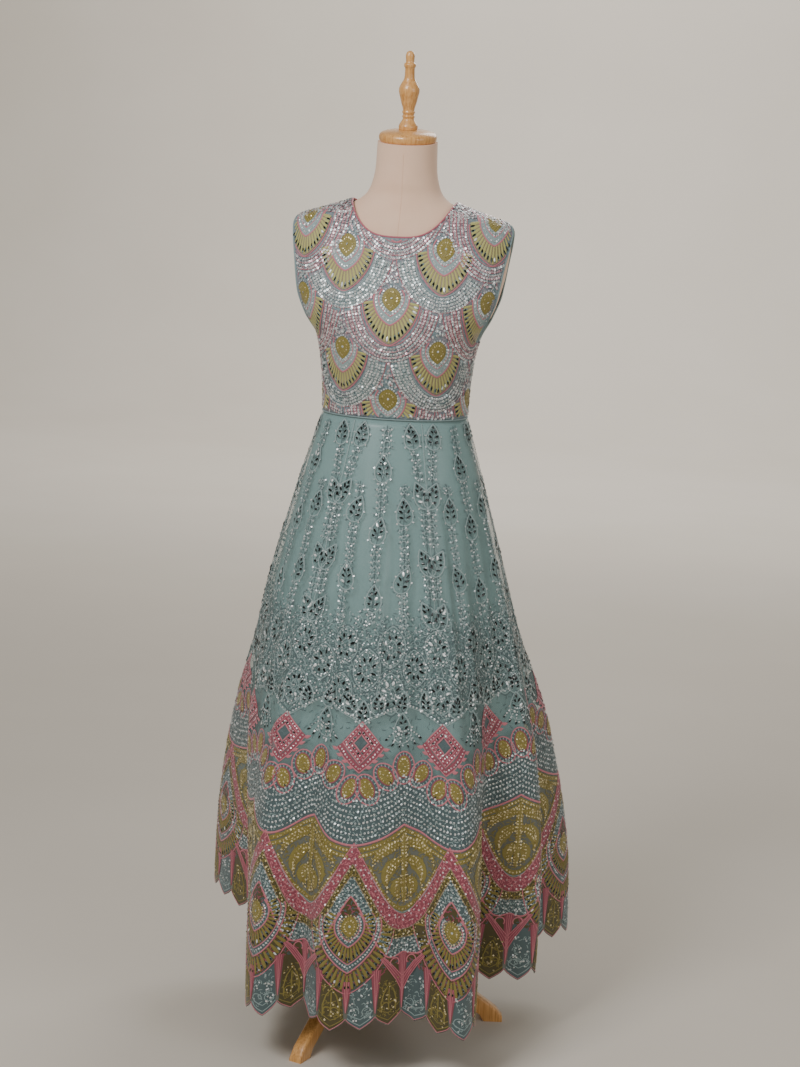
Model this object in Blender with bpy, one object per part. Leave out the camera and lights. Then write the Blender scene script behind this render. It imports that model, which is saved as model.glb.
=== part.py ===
"""Sleeveless anarkali gown worn on a limbless dress form with a three-legged wooden stand.

Metres, +Z up, the gown's front faces -Y and the wearer's left side is at +X. Cloth pieces are walls
worked out from the section tables below, each cut as its maker would cut it: a front and a back
bodice, six flared skirt panels called kalis with a petal-edged hem, and a shorter satin lining.
"""

import math
from collections import namedtuple

import bmesh
import bpy
import numpy as np

# Cloth and seams
NET_WALL = 0.0015
SATIN_WALL = 0.0010
SEAM_GAP = 0.0003

# Levels up the gown
WAIST_Z = 1.143
UNDERARM_Z = 1.280
SHOULDER_TIP_Z = 1.484
FRONT_NECK_Z = 1.457
BACK_NECK_Z = 1.492
NECK_POINT_X = 0.092
NECK_CURVE = 3.2
ARMHOLE_INSET = 0.016

# Stand and form
TORSO_FOOT_Z = 0.860
NECK_TOP_Z = 1.620
NECK_LEAN_DEG = 8.0
NECK_LEAN_FROM_Z = 1.540
POLE_RADIUS = 0.014
HUB_RADIUS = 0.034
HUB_FOOT_Z = 0.075
HUB_TOP_Z = 0.200
LEG_REACH = 0.255
LEG_WIDTH = 0.024
LEG_ANGLES_DEG = (8.0, 128.0, 248.0)
FOOT_LENGTH = 0.036

# Mesh fineness
FORM_SEGMENTS = 28
BODICE_COLUMNS = 20
BODICE_ROWS = 14
COLUMNS_PER_PETAL = 4
LINING_COLUMNS = 64
TURNED_STEPS = 18
ARC_SAMPLES = 1440

# One level of the bodice cloth, and how far inside it the form lies
TorsoRow = namedtuple("TorsoRow", "z half_width front back squareness ease")
TORSO = (
    TorsoRow(0.860, 0.148, 0.098, 0.112, 2.20, 0.0040),
    TorsoRow(0.900, 0.160, 0.106, 0.124, 2.20, 0.0040),
    TorsoRow(0.960, 0.163, 0.110, 0.128, 2.20, 0.0040),
    TorsoRow(1.040, 0.140, 0.104, 0.110, 2.10, 0.0040),
    TorsoRow(1.100, 0.131, 0.100, 0.095, 2.00, 0.0060),
    TorsoRow(1.143, 0.129, 0.099, 0.092, 2.00, 0.0048),
    TorsoRow(1.190, 0.1305, 0.112, 0.098, 2.05, 0.0036),
    TorsoRow(1.235, 0.134, 0.127, 0.102, 2.15, 0.0036),
    TorsoRow(1.280, 0.143, 0.135, 0.107, 2.20, 0.0045),
    TorsoRow(1.320, 0.170, 0.131, 0.111, 2.30, 0.0080),
    TorsoRow(1.360, 0.190, 0.121, 0.114, 2.30, 0.0140),
    TorsoRow(1.400, 0.197, 0.109, 0.115, 2.20, 0.0120),
    TorsoRow(1.440, 0.199, 0.097, 0.111, 2.00, 0.0085),
    TorsoRow(1.468, 0.197, 0.086, 0.100, 1.80, 0.0060),
    TorsoRow(1.484, 0.188, 0.077, 0.088, 1.65, 0.0048),
    TorsoRow(1.501, 0.140, 0.068, 0.075, 1.60, 0.0060),
    TorsoRow(1.518, 0.092, 0.060, 0.063, 1.70, 0.0055),
    TorsoRow(1.532, 0.070, 0.055, 0.057, 1.90, 0.0035),
    TorsoRow(1.550, 0.0585, 0.0535, 0.0540, 2.00, 0.0000),
    TorsoRow(1.575, 0.0540, 0.0520, 0.0520, 2.00, 0.0000),
    TorsoRow(1.620, 0.0525, 0.0525, 0.0525, 2.00, 0.0000),
)

# One level of the skirt, from 0 at the waist to 1 at the hem. fold_share is how much of the hem's folds
# it already has, and lining_gap how far inside the net the lining hangs.
SkirtRow = namedtuple("SkirtRow", "level half_width front back fold_share lining_gap")
SKIRT = (
    SkirtRow(0.000, 0.129, 0.099, 0.092, 0.00, 0.0016),
    SkirtRow(0.045, 0.142, 0.114, 0.108, 0.00, 0.0030),
    SkirtRow(0.150, 0.174, 0.148, 0.148, 0.02, 0.0060),
    SkirtRow(0.300, 0.216, 0.192, 0.195, 0.08, 0.0080),
    SkirtRow(0.450, 0.258, 0.234, 0.238, 0.25, 0.0100),
    SkirtRow(0.600, 0.296, 0.266, 0.272, 0.50, 0.0140),
    SkirtRow(0.750, 0.316, 0.284, 0.292, 0.75, 0.0160),
    SkirtRow(0.880, 0.322, 0.290, 0.300, 0.92, 0.0180),
    SkirtRow(1.000, 0.322, 0.288, 0.302, 1.00, 0.0180),
)
LINING_HEM_LEVEL = 0.70

# The hem seen from above: the radius and the height of each ridge and trough, by its angle from the
# front towards the wearer's left
HemRow = namedtuple("HemRow", "angle_deg radius z")
HEM = (
    HemRow(-180.0, 0.266, 0.140),
    HemRow(-163.0, 0.336, 0.130),
    HemRow(-143.0, 0.258, 0.160),
    HemRow(-117.0, 0.362, 0.212),
    HemRow(-84.0, 0.208, 0.185),
    HemRow(-52.0, 0.250, 0.126),
    HemRow(-31.0, 0.318, 0.117),
    HemRow(-19.0, 0.268, 0.133),
    HemRow(-7.0, 0.306, 0.116),
    HemRow(8.0, 0.296, 0.121),
    HemRow(23.0, 0.272, 0.127),
    HemRow(35.0, 0.352, 0.113),
    HemRow(63.0, 0.202, 0.146),
    HemRow(80.0, 0.318, 0.148),
    HemRow(95.0, 0.258, 0.166),
    HemRow(117.0, 0.402, 0.158),
    HemRow(140.0, 0.258, 0.150),
    HemRow(160.0, 0.336, 0.130),
)

# The six skirt panels, in order from the front towards the wearer's left, and the hem's petals
KALIS = ("front", "left_front", "left_back", "back", "right_back", "right_front")
PETALS_PER_KALI = 8
PETAL_DEPTH = 0.020
PETAL_ROUNDNESS = 0.75
KALI_LEVELS = (0.0, 0.09, 0.24, 0.42, 0.60, 0.76, 0.90, 1.0)
LINING_LEVELS = (0.0, 0.09, 0.24, 0.40, 0.55, LINING_HEM_LEVEL)

# The turned finial: height above its foot, and radius
TurnedRow = namedtuple("TurnedRow", "height radius")
FINIAL = (
    TurnedRow(0.0000, 0.0165),
    TurnedRow(0.0050, 0.0168),
    TurnedRow(0.0105, 0.0145),
    TurnedRow(0.0160, 0.0110),
    TurnedRow(0.0190, 0.0098),
    TurnedRow(0.0225, 0.0113),
    TurnedRow(0.0255, 0.0096),
    TurnedRow(0.0295, 0.0115),
    TurnedRow(0.0330, 0.0100),
    TurnedRow(0.0450, 0.0133),
    TurnedRow(0.0560, 0.0160),
    TurnedRow(0.0655, 0.0181),
    TurnedRow(0.0700, 0.0178),
    TurnedRow(0.0790, 0.0138),
    TurnedRow(0.0865, 0.0096),
    TurnedRow(0.0940, 0.0086),
    TurnedRow(0.1040, 0.0085),
    TurnedRow(0.1080, 0.0104),
    TurnedRow(0.1115, 0.0104),
    TurnedRow(0.1145, 0.0072),
    TurnedRow(0.1250, 0.0078),
    TurnedRow(0.1310, 0.0060),
    TurnedRow(0.1335, 0.0028),
)
NECK_CAP = (
    TurnedRow(0.0000, 0.0480),
    TurnedRow(0.0030, 0.0502),
    TurnedRow(0.0090, 0.0508),
    TurnedRow(0.0140, 0.0485),
    TurnedRow(0.0180, 0.0390),
    TurnedRow(0.0205, 0.0240),
    TurnedRow(0.0210, 0.0170),
)
HUB = (
    TurnedRow(0.0000, 0.0280),
    TurnedRow(0.0060, HUB_RADIUS),
    TurnedRow(0.0980, HUB_RADIUS),
    TurnedRow(0.1080, 0.0290),
    TurnedRow(0.1250, 0.0220),
)
# The top line of a leg, by how far out it is from the stand's axis
LegRow = namedtuple("LegRow", "out top")
LEG = (
    LegRow(0.0345, 0.160),
    LegRow(0.080, 0.142),
    LegRow(0.130, 0.108),
    LegRow(0.180, 0.070),
    LegRow(0.225, 0.038),
    LegRow(LEG_REACH - 0.006, 0.019),
    LegRow(LEG_REACH, 0.010),
)
LEG_DEPTH = 0.036

COLOURS = {
    "net": ((0.330, 0.470, 0.450), 0.75, 0.0),
    "bodice": ((0.480, 0.500, 0.520), 0.55, 0.0),
    "satin": ((0.400, 0.560, 0.540), 0.40, 0.0),
    "cover": ((0.780, 0.700, 0.640), 0.85, 0.0),
    "beech": ((0.620, 0.380, 0.160), 0.45, 0.0),
}


def clear_scene():
    """Remove the objects of the start-up scene."""
    for thing in list(bpy.data.objects):
        bpy.data.objects.remove(thing, do_unlink=True)


def material(name):
    """A Principled material with the named finish's colour, roughness and metallic value."""
    found = bpy.data.materials.get(name)
    if found:
        return found
    colour, roughness, metallic = COLOURS[name]
    made = bpy.data.materials.new(name)
    made.use_nodes = True
    shader = made.node_tree.nodes["Principled BSDF"]
    shader.inputs["Base Color"].default_value = (*colour, 1.0)
    shader.inputs["Roughness"].default_value = roughness
    shader.inputs["Metallic"].default_value = metallic
    return made


def add_object(name, mesh_builder, finish):
    """Turn a filled bmesh into a named, smooth-shaded object."""
    mesh = bpy.data.meshes.new(name)
    bmesh.ops.recalc_face_normals(mesh_builder, faces=mesh_builder.faces)
    mesh_builder.to_mesh(mesh)
    mesh_builder.free()
    mesh.shade_smooth()
    mesh.set_sharp_from_angle(angle=math.radians(50))
    mesh.materials.append(material(finish))
    made = bpy.data.objects.new(name, mesh)
    bpy.context.scene.collection.objects.link(made)
    return made


def smooth_between(x, knots, values):
    """Values at x on a curve through the knots that never overshoots them."""
    x = np.clip(x, knots[0], knots[-1])
    step = np.diff(knots)
    slope = np.diff(values) / step
    inner = np.where(
        slope[:-1] * slope[1:] > 0,
        2 * slope[:-1] * slope[1:] / (slope[:-1] + slope[1:] + 1e-12),
        0.0,
    )
    tangent = np.concatenate([[slope[0]], inner, [slope[-1]]])
    i = np.clip(np.searchsorted(knots, x, side="right") - 1, 0, len(step) - 1)
    t = (x - knots[i]) / step[i]
    start = (1 + 2 * t) * (1 - t) ** 2 * values[i] + t * (1 - t) ** 2 * step[i] * tangent[i]
    end = t * t * (3 - 2 * t) * values[i + 1] + t * t * (t - 1) * step[i] * tangent[i + 1]
    return start + end


def column(rows, field):
    """One named column of a table."""
    return np.array([getattr(row, field) for row in rows])


def torso_at(z, field):
    """A torso section's size at height z."""
    return smooth_between(z, column(TORSO, "z"), column(TORSO, field))


def skirt_at(level, field):
    """A skirt section's size at a level between waist and hem."""
    return smooth_between(level, column(SKIRT, "level"), column(SKIRT, field))


def hem_at(angle, field):
    """The hem's radius or height at an angle, all round."""
    angles = np.radians(column(HEM, "angle_deg"))
    values = column(HEM, field)
    knots = np.concatenate([angles - 2 * math.pi, angles, angles + 2 * math.pi])
    turned = (angle + math.pi) % (2 * math.pi) - math.pi
    return smooth_between(turned, knots, np.tile(values, 3))


def torso_depth(x, z, facing):
    """How far the torso's surface lies in front of (facing -1) or behind (+1) its middle at x and z."""
    share = np.clip(np.abs(x) / torso_at(z, "half_width"), 0.0, 1.0)
    squareness = torso_at(z, "squareness")
    reach = np.where(facing < 0, torso_at(z, "front"), torso_at(z, "back"))
    return facing * reach * np.maximum(1 - share**squareness, 0.0) ** (1 / squareness)


def torso_normal(points):
    """Outward normals of the torso's surface, from the slope of its section formula."""

    def field(p):
        squareness = torso_at(p[..., 2], "squareness")
        depth = np.where(p[..., 1] < 0, torso_at(p[..., 2], "front"), torso_at(p[..., 2], "back"))
        across = np.abs(p[..., 0]) / torso_at(p[..., 2], "half_width")
        return across**squareness + (np.abs(p[..., 1]) / depth) ** squareness

    step = 2e-4
    slopes = []
    for axis in range(3):
        shift = np.zeros(3)
        shift[axis] = step
        slopes.append(field(points + shift) - field(points - shift))
    normal = np.stack(slopes, axis=-1)
    return normal / np.linalg.norm(normal, axis=-1, keepdims=True)


def skirt_point(angle, level, inward=0.0):
    """A point of the skirt's surface, moved in towards the axis by inward."""
    wide = skirt_at(level, "half_width")
    deep = np.where(np.cos(angle) > 0, skirt_at(level, "front"), skirt_at(level, "back"))
    round_radius = 1 / np.sqrt((np.sin(angle) / wide) ** 2 + (np.cos(angle) / deep) ** 2)
    last = SKIRT[-1]
    hem_deep = np.where(np.cos(angle) > 0, last.front, last.back)
    hem_round = 1 / np.sqrt((np.sin(angle) / last.half_width) ** 2 + (np.cos(angle) / hem_deep) ** 2)
    fold = (hem_at(angle, "radius") - hem_round) * skirt_at(level, "fold_share")
    radius = round_radius + fold - inward
    z = WAIST_Z + (hem_at(angle, "z") - WAIST_Z) * level
    return np.stack([radius * np.sin(angle), -radius * np.cos(angle), z], axis=-1)


def skirt_normal(angle, level, inward=0.0):
    """Outward normals of the skirt's surface."""
    step = 1e-3
    across = skirt_point(angle + step, level, inward) - skirt_point(angle - step, level, inward)
    down = skirt_point(angle, level + step, inward) - skirt_point(angle, level - step, inward)
    normal = np.cross(down, across)
    return normal / np.linalg.norm(normal, axis=-1, keepdims=True)


def angles_along(level, shares, inward=0.0):
    """The angles at given shares of the cloth's length round the skirt, counted from the front."""
    fine = np.linspace(-math.pi, math.pi, ARC_SAMPLES + 1)
    points = skirt_point(fine, np.full_like(fine, level), inward)
    length = np.concatenate([[0.0], np.cumsum(np.linalg.norm(np.diff(points, axis=0), axis=1))])
    front = np.interp(0.0, fine, length)
    wanted = front + np.asarray(shares) * length[-1]
    turns = np.floor(wanted / length[-1])
    return np.interp(wanted - turns * length[-1], length, fine) + turns * 2 * math.pi, length[-1]


def wall(name, outer, inner, finish, closed):
    """A cloth wall from its outer and inner points, [row, column], joined round its edges."""
    rows, columns = outer.shape[:2]
    builder = bmesh.new()
    outside = [[builder.verts.new(p) for p in row] for row in outer]
    inside = [[builder.verts.new(p) for p in row] for row in inner]
    spans = columns if closed else columns - 1
    for j in range(spans):
        k = (j + 1) % columns
        for i in range(rows - 1):
            builder.faces.new((outside[i][j], outside[i + 1][j], outside[i + 1][k], outside[i][k]))
            builder.faces.new((inside[i][j], inside[i][k], inside[i + 1][k], inside[i + 1][j]))
        for i in (0, rows - 1):
            builder.faces.new((outside[i][j], outside[i][k], inside[i][k], inside[i][j]))
    if not closed:
        for j in (0, columns - 1):
            for i in range(rows - 1):
                builder.faces.new((outside[i][j], outside[i + 1][j], inside[i + 1][j], inside[i][j]))
    return add_object(name, builder, finish)


def turned(name, rows, foot_z, finish, lean_deg=0.0):
    """A lathe-turned piece: its profile spun about the stand's axis, then leant forward."""
    builder = bmesh.new()
    heights = [rows[0].height, *(row.height for row in rows), rows[-1].height]
    radii = [0.0, *(row.radius for row in rows), 0.0]
    points = [builder.verts.new((r, 0.0, h)) for r, h in zip(radii, heights)]
    edges = [builder.edges.new(pair) for pair in zip(points, points[1:])]
    bmesh.ops.spin(
        builder,
        geom=points + edges,
        cent=(0, 0, 0),
        axis=(0, 0, 1),
        angle=2 * math.pi,
        steps=TURNED_STEPS,
        use_merge=True,
    )
    bmesh.ops.remove_doubles(builder, verts=builder.verts, dist=1e-6)
    made = add_object(name, builder, finish)
    made.rotation_euler.x = math.radians(lean_deg)
    made.location.z = foot_z
    return made


def build_form():
    """The covered torso: rings from hip to neck, closed by a flat foot and a neck top that leans forward."""
    levels = [0.860, 0.900, 0.960, 1.040, 1.100, 1.143, 1.190, 1.235, 1.280, 1.320, 1.360, 1.400]
    levels += [1.440, 1.468, 1.484, 1.4925, 1.501, 1.5095, 1.518, 1.532, 1.550, 1.575, NECK_TOP_Z]
    angle = np.arange(FORM_SEGMENTS) * 2 * math.pi / FORM_SEGMENTS
    builder = bmesh.new()
    rings = []
    for z in levels:
        height = np.full_like(angle, z)
        power = 2 / torso_at(height, "squareness")
        deep = np.where(np.cos(angle) > 0, torso_at(height, "front"), torso_at(height, "back"))
        x = torso_at(height, "half_width") * np.sign(np.sin(angle)) * np.abs(np.sin(angle)) ** power
        y = -deep * np.sign(np.cos(angle)) * np.abs(np.cos(angle)) ** power
        ring = np.stack([x, y, height], axis=-1)
        ring -= torso_normal(ring) * torso_at(height, "ease")[:, None]
        if z in (levels[0], NECK_TOP_Z):
            ring[:, 2] = z
        lean = max(z - NECK_LEAN_FROM_Z, 0.0) / (NECK_TOP_Z - NECK_LEAN_FROM_Z)
        ring[:, 2] += ring[:, 1] * math.tan(math.radians(NECK_LEAN_DEG)) * lean
        rings.append([builder.verts.new(p) for p in ring])
    for low, high in zip(rings, rings[1:]):
        for j in range(FORM_SEGMENTS):
            k = (j + 1) % FORM_SEGMENTS
            builder.faces.new((low[j], low[k], high[k], high[j]))
    builder.faces.new(rings[0])
    builder.faces.new(rings[-1])
    add_object("form_torso", builder, "cover")


def top_edge_z(x, neck_z):
    """The top edge of a bodice piece at x: the neckline, then the shoulder seam."""
    shoulder = np.linspace(SHOULDER_TIP_Z, TORSO[16].z, 60)
    ridge_x = torso_at(shoulder, "half_width")
    ridge = np.interp(-np.abs(x), -ridge_x, shoulder)
    neck_point_z = np.interp(-NECK_POINT_X, -ridge_x, shoulder)
    neckline = neck_z + (neck_point_z - neck_z) * (np.abs(x) / NECK_POINT_X) ** NECK_CURVE
    return np.where(np.abs(x) < NECK_POINT_X, neckline, ridge)


def bodice_edge_x(z):
    """How far out a bodice piece reaches at a height: its side seam, then its armhole."""
    rise = np.clip((z - UNDERARM_Z) / (SHOULDER_TIP_Z - UNDERARM_Z), 0.0, 1.0)
    inset = ARMHOLE_INSET * np.sin(math.pi * rise)
    return torso_at(np.minimum(z, SHOULDER_TIP_Z), "half_width") - inset


def build_bodice(name, facing, neck_z):
    """One bodice piece, from neckline, shoulder seams and armholes down to the waist seam."""
    across = np.linspace(-1.0, 1.0, BODICE_COLUMNS + 1)
    down = np.linspace(0.0, 1.0, BODICE_ROWS + 1) ** 1.6
    spread = np.sin(across * math.pi / 2)
    top = top_edge_z(bodice_edge_x(np.full_like(across, SHOULDER_TIP_Z)) * spread, neck_z)
    z = top[None, :] + (WAIST_Z - top[None, :]) * down[:, None]
    x = bodice_edge_x(z) * spread[None, :]
    middle = np.stack([x, torso_depth(x, z, facing), z], axis=-1)
    normal = torso_normal(middle)
    outer = middle + normal * NET_WALL / 2
    inner = middle - normal * NET_WALL / 2
    for skin in (outer, inner):
        skin[..., 1] = facing * np.maximum(facing * skin[..., 1], SEAM_GAP / 2)
        skin[-1, :, 2] = WAIST_Z + SEAM_GAP / 2
    wall(name, outer, inner, "bodice", closed=False)


def petal_drop(share):
    """How far the hem's petals hang below its line, by share of the hem's length round the skirt."""
    petals = share * len(KALIS) * PETALS_PER_KALI
    off_tip = np.abs(2 * (petals - np.floor(petals)) - 1)
    return PETAL_DEPTH * (1 - off_tip) ** PETAL_ROUNDNESS


def build_kali(index, name):
    """One flared skirt panel: its share of the cloth's length round each level, with petals at the hem."""
    count = PETALS_PER_KALI * COLUMNS_PER_PETAL + 1
    middle, normal = [], []
    for level in KALI_LEVELS:
        start = (index - 0.5) / len(KALIS)
        shares = start + np.linspace(0.0, 1.0, count) / len(KALIS)
        drop = petal_drop(shares) if level == KALI_LEVELS[-1] else np.zeros(count)
        _, length = angles_along(level, shares)
        inset = SEAM_GAP / 2 / length
        shares[0] += inset
        shares[-1] -= inset
        angles, _ = angles_along(level, shares)
        levels = level + drop / (WAIST_Z - hem_at(angles, "z"))
        middle.append(skirt_point(angles, levels))
        normal.append(skirt_normal(angles, np.full(count, level)))
    middle, normal = np.array(middle), np.array(normal)
    outer = middle + normal * NET_WALL / 2
    inner = middle - normal * NET_WALL / 2
    for skin in (outer, inner):
        skin[0, :, 2] = WAIST_Z - SEAM_GAP / 2
    wall("kali_" + name, outer, inner, "net", closed=False)


def build_lining():
    """The satin lining: one flared tube inside the kalis, ending above their petals."""
    shares = np.arange(LINING_COLUMNS) / LINING_COLUMNS
    middle, normal = [], []
    for level in LINING_LEVELS:
        inward = float(skirt_at(np.array([level]), "lining_gap")[0])
        angles, _ = angles_along(level, shares, inward)
        levels = np.full(LINING_COLUMNS, level)
        middle.append(skirt_point(angles, levels, inward))
        normal.append(skirt_normal(angles, levels, inward))
    middle, normal = np.array(middle), np.array(normal)
    outer = middle + normal * SATIN_WALL / 2
    inner = middle - normal * SATIN_WALL / 2
    for skin in (outer, inner):
        skin[0, :, 2] = WAIST_Z - SEAM_GAP
    wall("skirt_lining", outer, inner, "satin", closed=True)


def build_leg(index, angle_deg):
    """One curved leg: its side outline extruded to the leg's width, with a flat foot on the floor."""
    top = [(row.out, row.top) for row in LEG]
    under = [(row.out, max(row.top - LEG_DEPTH, 0.0)) for row in reversed(LEG[:-3])]
    outline = top + [(LEG_REACH, 0.0), (LEG_REACH - FOOT_LENGTH, 0.0)] + under
    builder = bmesh.new()
    side = builder.faces.new([builder.verts.new((r, -LEG_WIDTH / 2, z)) for r, z in outline])
    grown = bmesh.ops.extrude_face_region(builder, geom=[side])
    moved = [v for v in grown["geom"] if isinstance(v, bmesh.types.BMVert)]
    bmesh.ops.translate(builder, verts=moved, vec=(0, LEG_WIDTH, 0))
    made = add_object(f"stand_leg_{index}", builder, "beech")
    made.rotation_euler.z = math.radians(angle_deg)
    return made


def build_pole():
    """The plain pole between the hub and the form's foot."""
    builder = bmesh.new()
    foot, head = HUB_TOP_Z + SEAM_GAP, TORSO_FOOT_Z - SEAM_GAP
    bmesh.ops.create_cone(
        builder,
        cap_ends=True,
        segments=TURNED_STEPS,
        radius1=POLE_RADIUS,
        radius2=POLE_RADIUS,
        depth=head - foot,
    )
    made = add_object("stand_pole", builder, "beech")
    made.location.z = (foot + head) / 2
    return made


def build_stand():
    """The wooden pieces: neck cap, finial, pole, hub and three legs."""
    seat_z = NECK_TOP_Z + SEAM_GAP
    turned("neck_cap", NECK_CAP, seat_z, "beech", NECK_LEAN_DEG)
    finial = turned("finial", FINIAL, seat_z, "beech", NECK_LEAN_DEG)
    lift = NECK_CAP[-1].height + SEAM_GAP
    finial.location.y -= lift * math.sin(math.radians(NECK_LEAN_DEG))
    finial.location.z += lift * math.cos(math.radians(NECK_LEAN_DEG))
    turned("stand_hub", HUB, HUB_FOOT_Z, "beech")
    build_pole()
    for index, angle_deg in enumerate(LEG_ANGLES_DEG, start=1):
        build_leg(index, angle_deg)


def centre_over_origin():
    """Move everything together so that the origin lies on the floor under the middle of its outline."""
    bpy.context.view_layer.update()
    parts = [thing for thing in bpy.context.scene.objects if thing.type == "MESH"]
    corners = np.array([thing.matrix_world @ v.co for thing in parts for v in thing.data.vertices])
    middle = (corners.min(axis=0) + corners.max(axis=0)) / 2
    anchor = bpy.data.objects.new("gown_on_form", None)
    bpy.context.scene.collection.objects.link(anchor)
    anchor.location = (-middle[0], -middle[1], -corners[:, 2].min())
    for thing in parts:
        thing.parent = anchor


def main():
    """Build every piece of the gown, the form and the stand."""
    clear_scene()
    build_form()
    build_stand()
    build_bodice("bodice_front", -1, FRONT_NECK_Z)
    build_bodice("bodice_back", 1, BACK_NECK_Z)
    for index, name in enumerate(KALIS):
        build_kali(index, name)
    build_lining()
    centre_over_origin()


main()
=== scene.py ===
"""Looks of a sleeveless anarkali gown of embroidered net, worn on a limbless dress form.

Metres, +Z up, the gown's front faces -Y and the wearer's left side is at +X. Cloth is looked up by its
share across and its level down, so a motif keeps its real size wherever it lies on the folds.
"""

import logging
import math
from collections.abc import Callable
from dataclasses import dataclass, field
from enum import Enum, IntEnum

import bmesh
import bpy
import numpy as np
from bpy.types import Material, Mesh, Node, NodeSocket, NodeTree, Object
from mathutils import Matrix, Vector


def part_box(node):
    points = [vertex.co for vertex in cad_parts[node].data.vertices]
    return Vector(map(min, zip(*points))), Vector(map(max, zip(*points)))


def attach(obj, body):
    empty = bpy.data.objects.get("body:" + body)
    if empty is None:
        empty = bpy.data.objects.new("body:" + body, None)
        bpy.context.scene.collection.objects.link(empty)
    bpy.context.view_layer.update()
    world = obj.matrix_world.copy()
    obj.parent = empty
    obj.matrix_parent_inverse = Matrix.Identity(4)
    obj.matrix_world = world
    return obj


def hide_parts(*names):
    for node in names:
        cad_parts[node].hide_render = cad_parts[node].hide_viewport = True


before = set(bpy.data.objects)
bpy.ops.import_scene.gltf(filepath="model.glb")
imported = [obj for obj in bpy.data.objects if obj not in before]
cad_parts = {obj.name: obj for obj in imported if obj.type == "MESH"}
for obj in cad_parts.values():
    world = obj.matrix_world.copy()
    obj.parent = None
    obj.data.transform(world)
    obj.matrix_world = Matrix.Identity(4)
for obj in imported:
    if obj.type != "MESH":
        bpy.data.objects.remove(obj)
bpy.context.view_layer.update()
LOG = logging.getLogger("gown")
MM = 0.001
TAU = 2 * math.pi
# A line of the design: its level at places across a panel, each from -0.5 to 0.5
Line = Callable[[np.ndarray], np.ndarray]

# The cut, as in the part's own tables
NET_WALL = 0.0015
SEAM_GAP = 0.0003
WAIST_Z = 1.143
UNDERARM_Z = 1.280
SHOULDER_TIP_Z = 1.484
NECK_POINT_X = 0.092
NECK_CURVE = 3.2
ARMHOLE_INSET = 0.016
BODICE_TOP_Z = 1.535
NECK_TOP_Z = 1.620
TORSO_FOOT_Z = 0.860
NECK_LEAN_DEG = 8.0
NECK_LEAN_FROM_Z = 1.540
PETALS_PER_KALI = 8
PETAL_DEPTH = 0.020
PETAL_ROUNDNESS = 0.75
LINING_HEM_LEVEL = 0.70
KALIS = ("front", "left_front", "left_back", "back", "right_back", "right_front")
LOWEST_LEVEL = 1.03
SKIRT_DROP = 1.052


@dataclass(frozen=True)
class TorsoRow:
    """One section of the bodice cloth, and how far inside it the form lies."""

    z: float
    half_width: float
    front: float
    back: float
    squareness: float
    ease: float


TORSO = (
    TorsoRow(0.860, 0.148, 0.098, 0.112, 2.20, 0.0040),
    TorsoRow(0.900, 0.160, 0.106, 0.124, 2.20, 0.0040),
    TorsoRow(0.960, 0.163, 0.110, 0.128, 2.20, 0.0040),
    TorsoRow(1.040, 0.140, 0.104, 0.110, 2.10, 0.0040),
    TorsoRow(1.100, 0.131, 0.100, 0.095, 2.00, 0.0060),
    TorsoRow(1.143, 0.129, 0.099, 0.092, 2.00, 0.0048),
    TorsoRow(1.190, 0.1305, 0.112, 0.098, 2.05, 0.0036),
    TorsoRow(1.235, 0.134, 0.127, 0.102, 2.15, 0.0036),
    TorsoRow(1.280, 0.143, 0.135, 0.107, 2.20, 0.0045),
    TorsoRow(1.320, 0.170, 0.131, 0.111, 2.30, 0.0080),
    TorsoRow(1.360, 0.190, 0.121, 0.114, 2.30, 0.0140),
    TorsoRow(1.400, 0.197, 0.109, 0.115, 2.20, 0.0120),
    TorsoRow(1.440, 0.199, 0.097, 0.111, 2.00, 0.0085),
    TorsoRow(1.468, 0.197, 0.086, 0.100, 1.80, 0.0060),
    TorsoRow(1.484, 0.188, 0.077, 0.088, 1.65, 0.0048),
    TorsoRow(1.501, 0.140, 0.068, 0.075, 1.60, 0.0060),
    TorsoRow(1.518, 0.092, 0.060, 0.063, 1.70, 0.0055),
    TorsoRow(1.532, 0.070, 0.055, 0.057, 1.90, 0.0035),
    TorsoRow(1.550, 0.0585, 0.0535, 0.0540, 2.00, 0.0000),
    TorsoRow(1.575, 0.0540, 0.0520, 0.0520, 2.00, 0.0000),
    TorsoRow(1.620, 0.0525, 0.0525, 0.0525, 2.00, 0.0000),
)
NECK_POINT_ROW = 16


@dataclass(frozen=True)
class SkirtRow:
    """One level of the skirt, from 0 at the waist to 1 at the hem."""

    level: float
    half_width: float
    front: float
    back: float
    fold_share: float
    lining_gap: float


SKIRT = (
    SkirtRow(0.000, 0.129, 0.099, 0.092, 0.00, 0.0016),
    SkirtRow(0.045, 0.142, 0.114, 0.108, 0.00, 0.0030),
    SkirtRow(0.150, 0.174, 0.148, 0.148, 0.02, 0.0060),
    SkirtRow(0.300, 0.216, 0.192, 0.195, 0.08, 0.0080),
    SkirtRow(0.450, 0.258, 0.234, 0.238, 0.25, 0.0100),
    SkirtRow(0.600, 0.296, 0.266, 0.272, 0.50, 0.0140),
    SkirtRow(0.750, 0.316, 0.284, 0.292, 0.75, 0.0160),
    SkirtRow(0.880, 0.322, 0.290, 0.300, 0.92, 0.0180),
    SkirtRow(1.000, 0.322, 0.288, 0.302, 1.00, 0.0180),
)


@dataclass(frozen=True)
class HemRow:
    """A ridge or trough of the hem seen from above, by its angle from the front to the wearer's left."""

    angle_deg: float
    radius: float
    z: float


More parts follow.
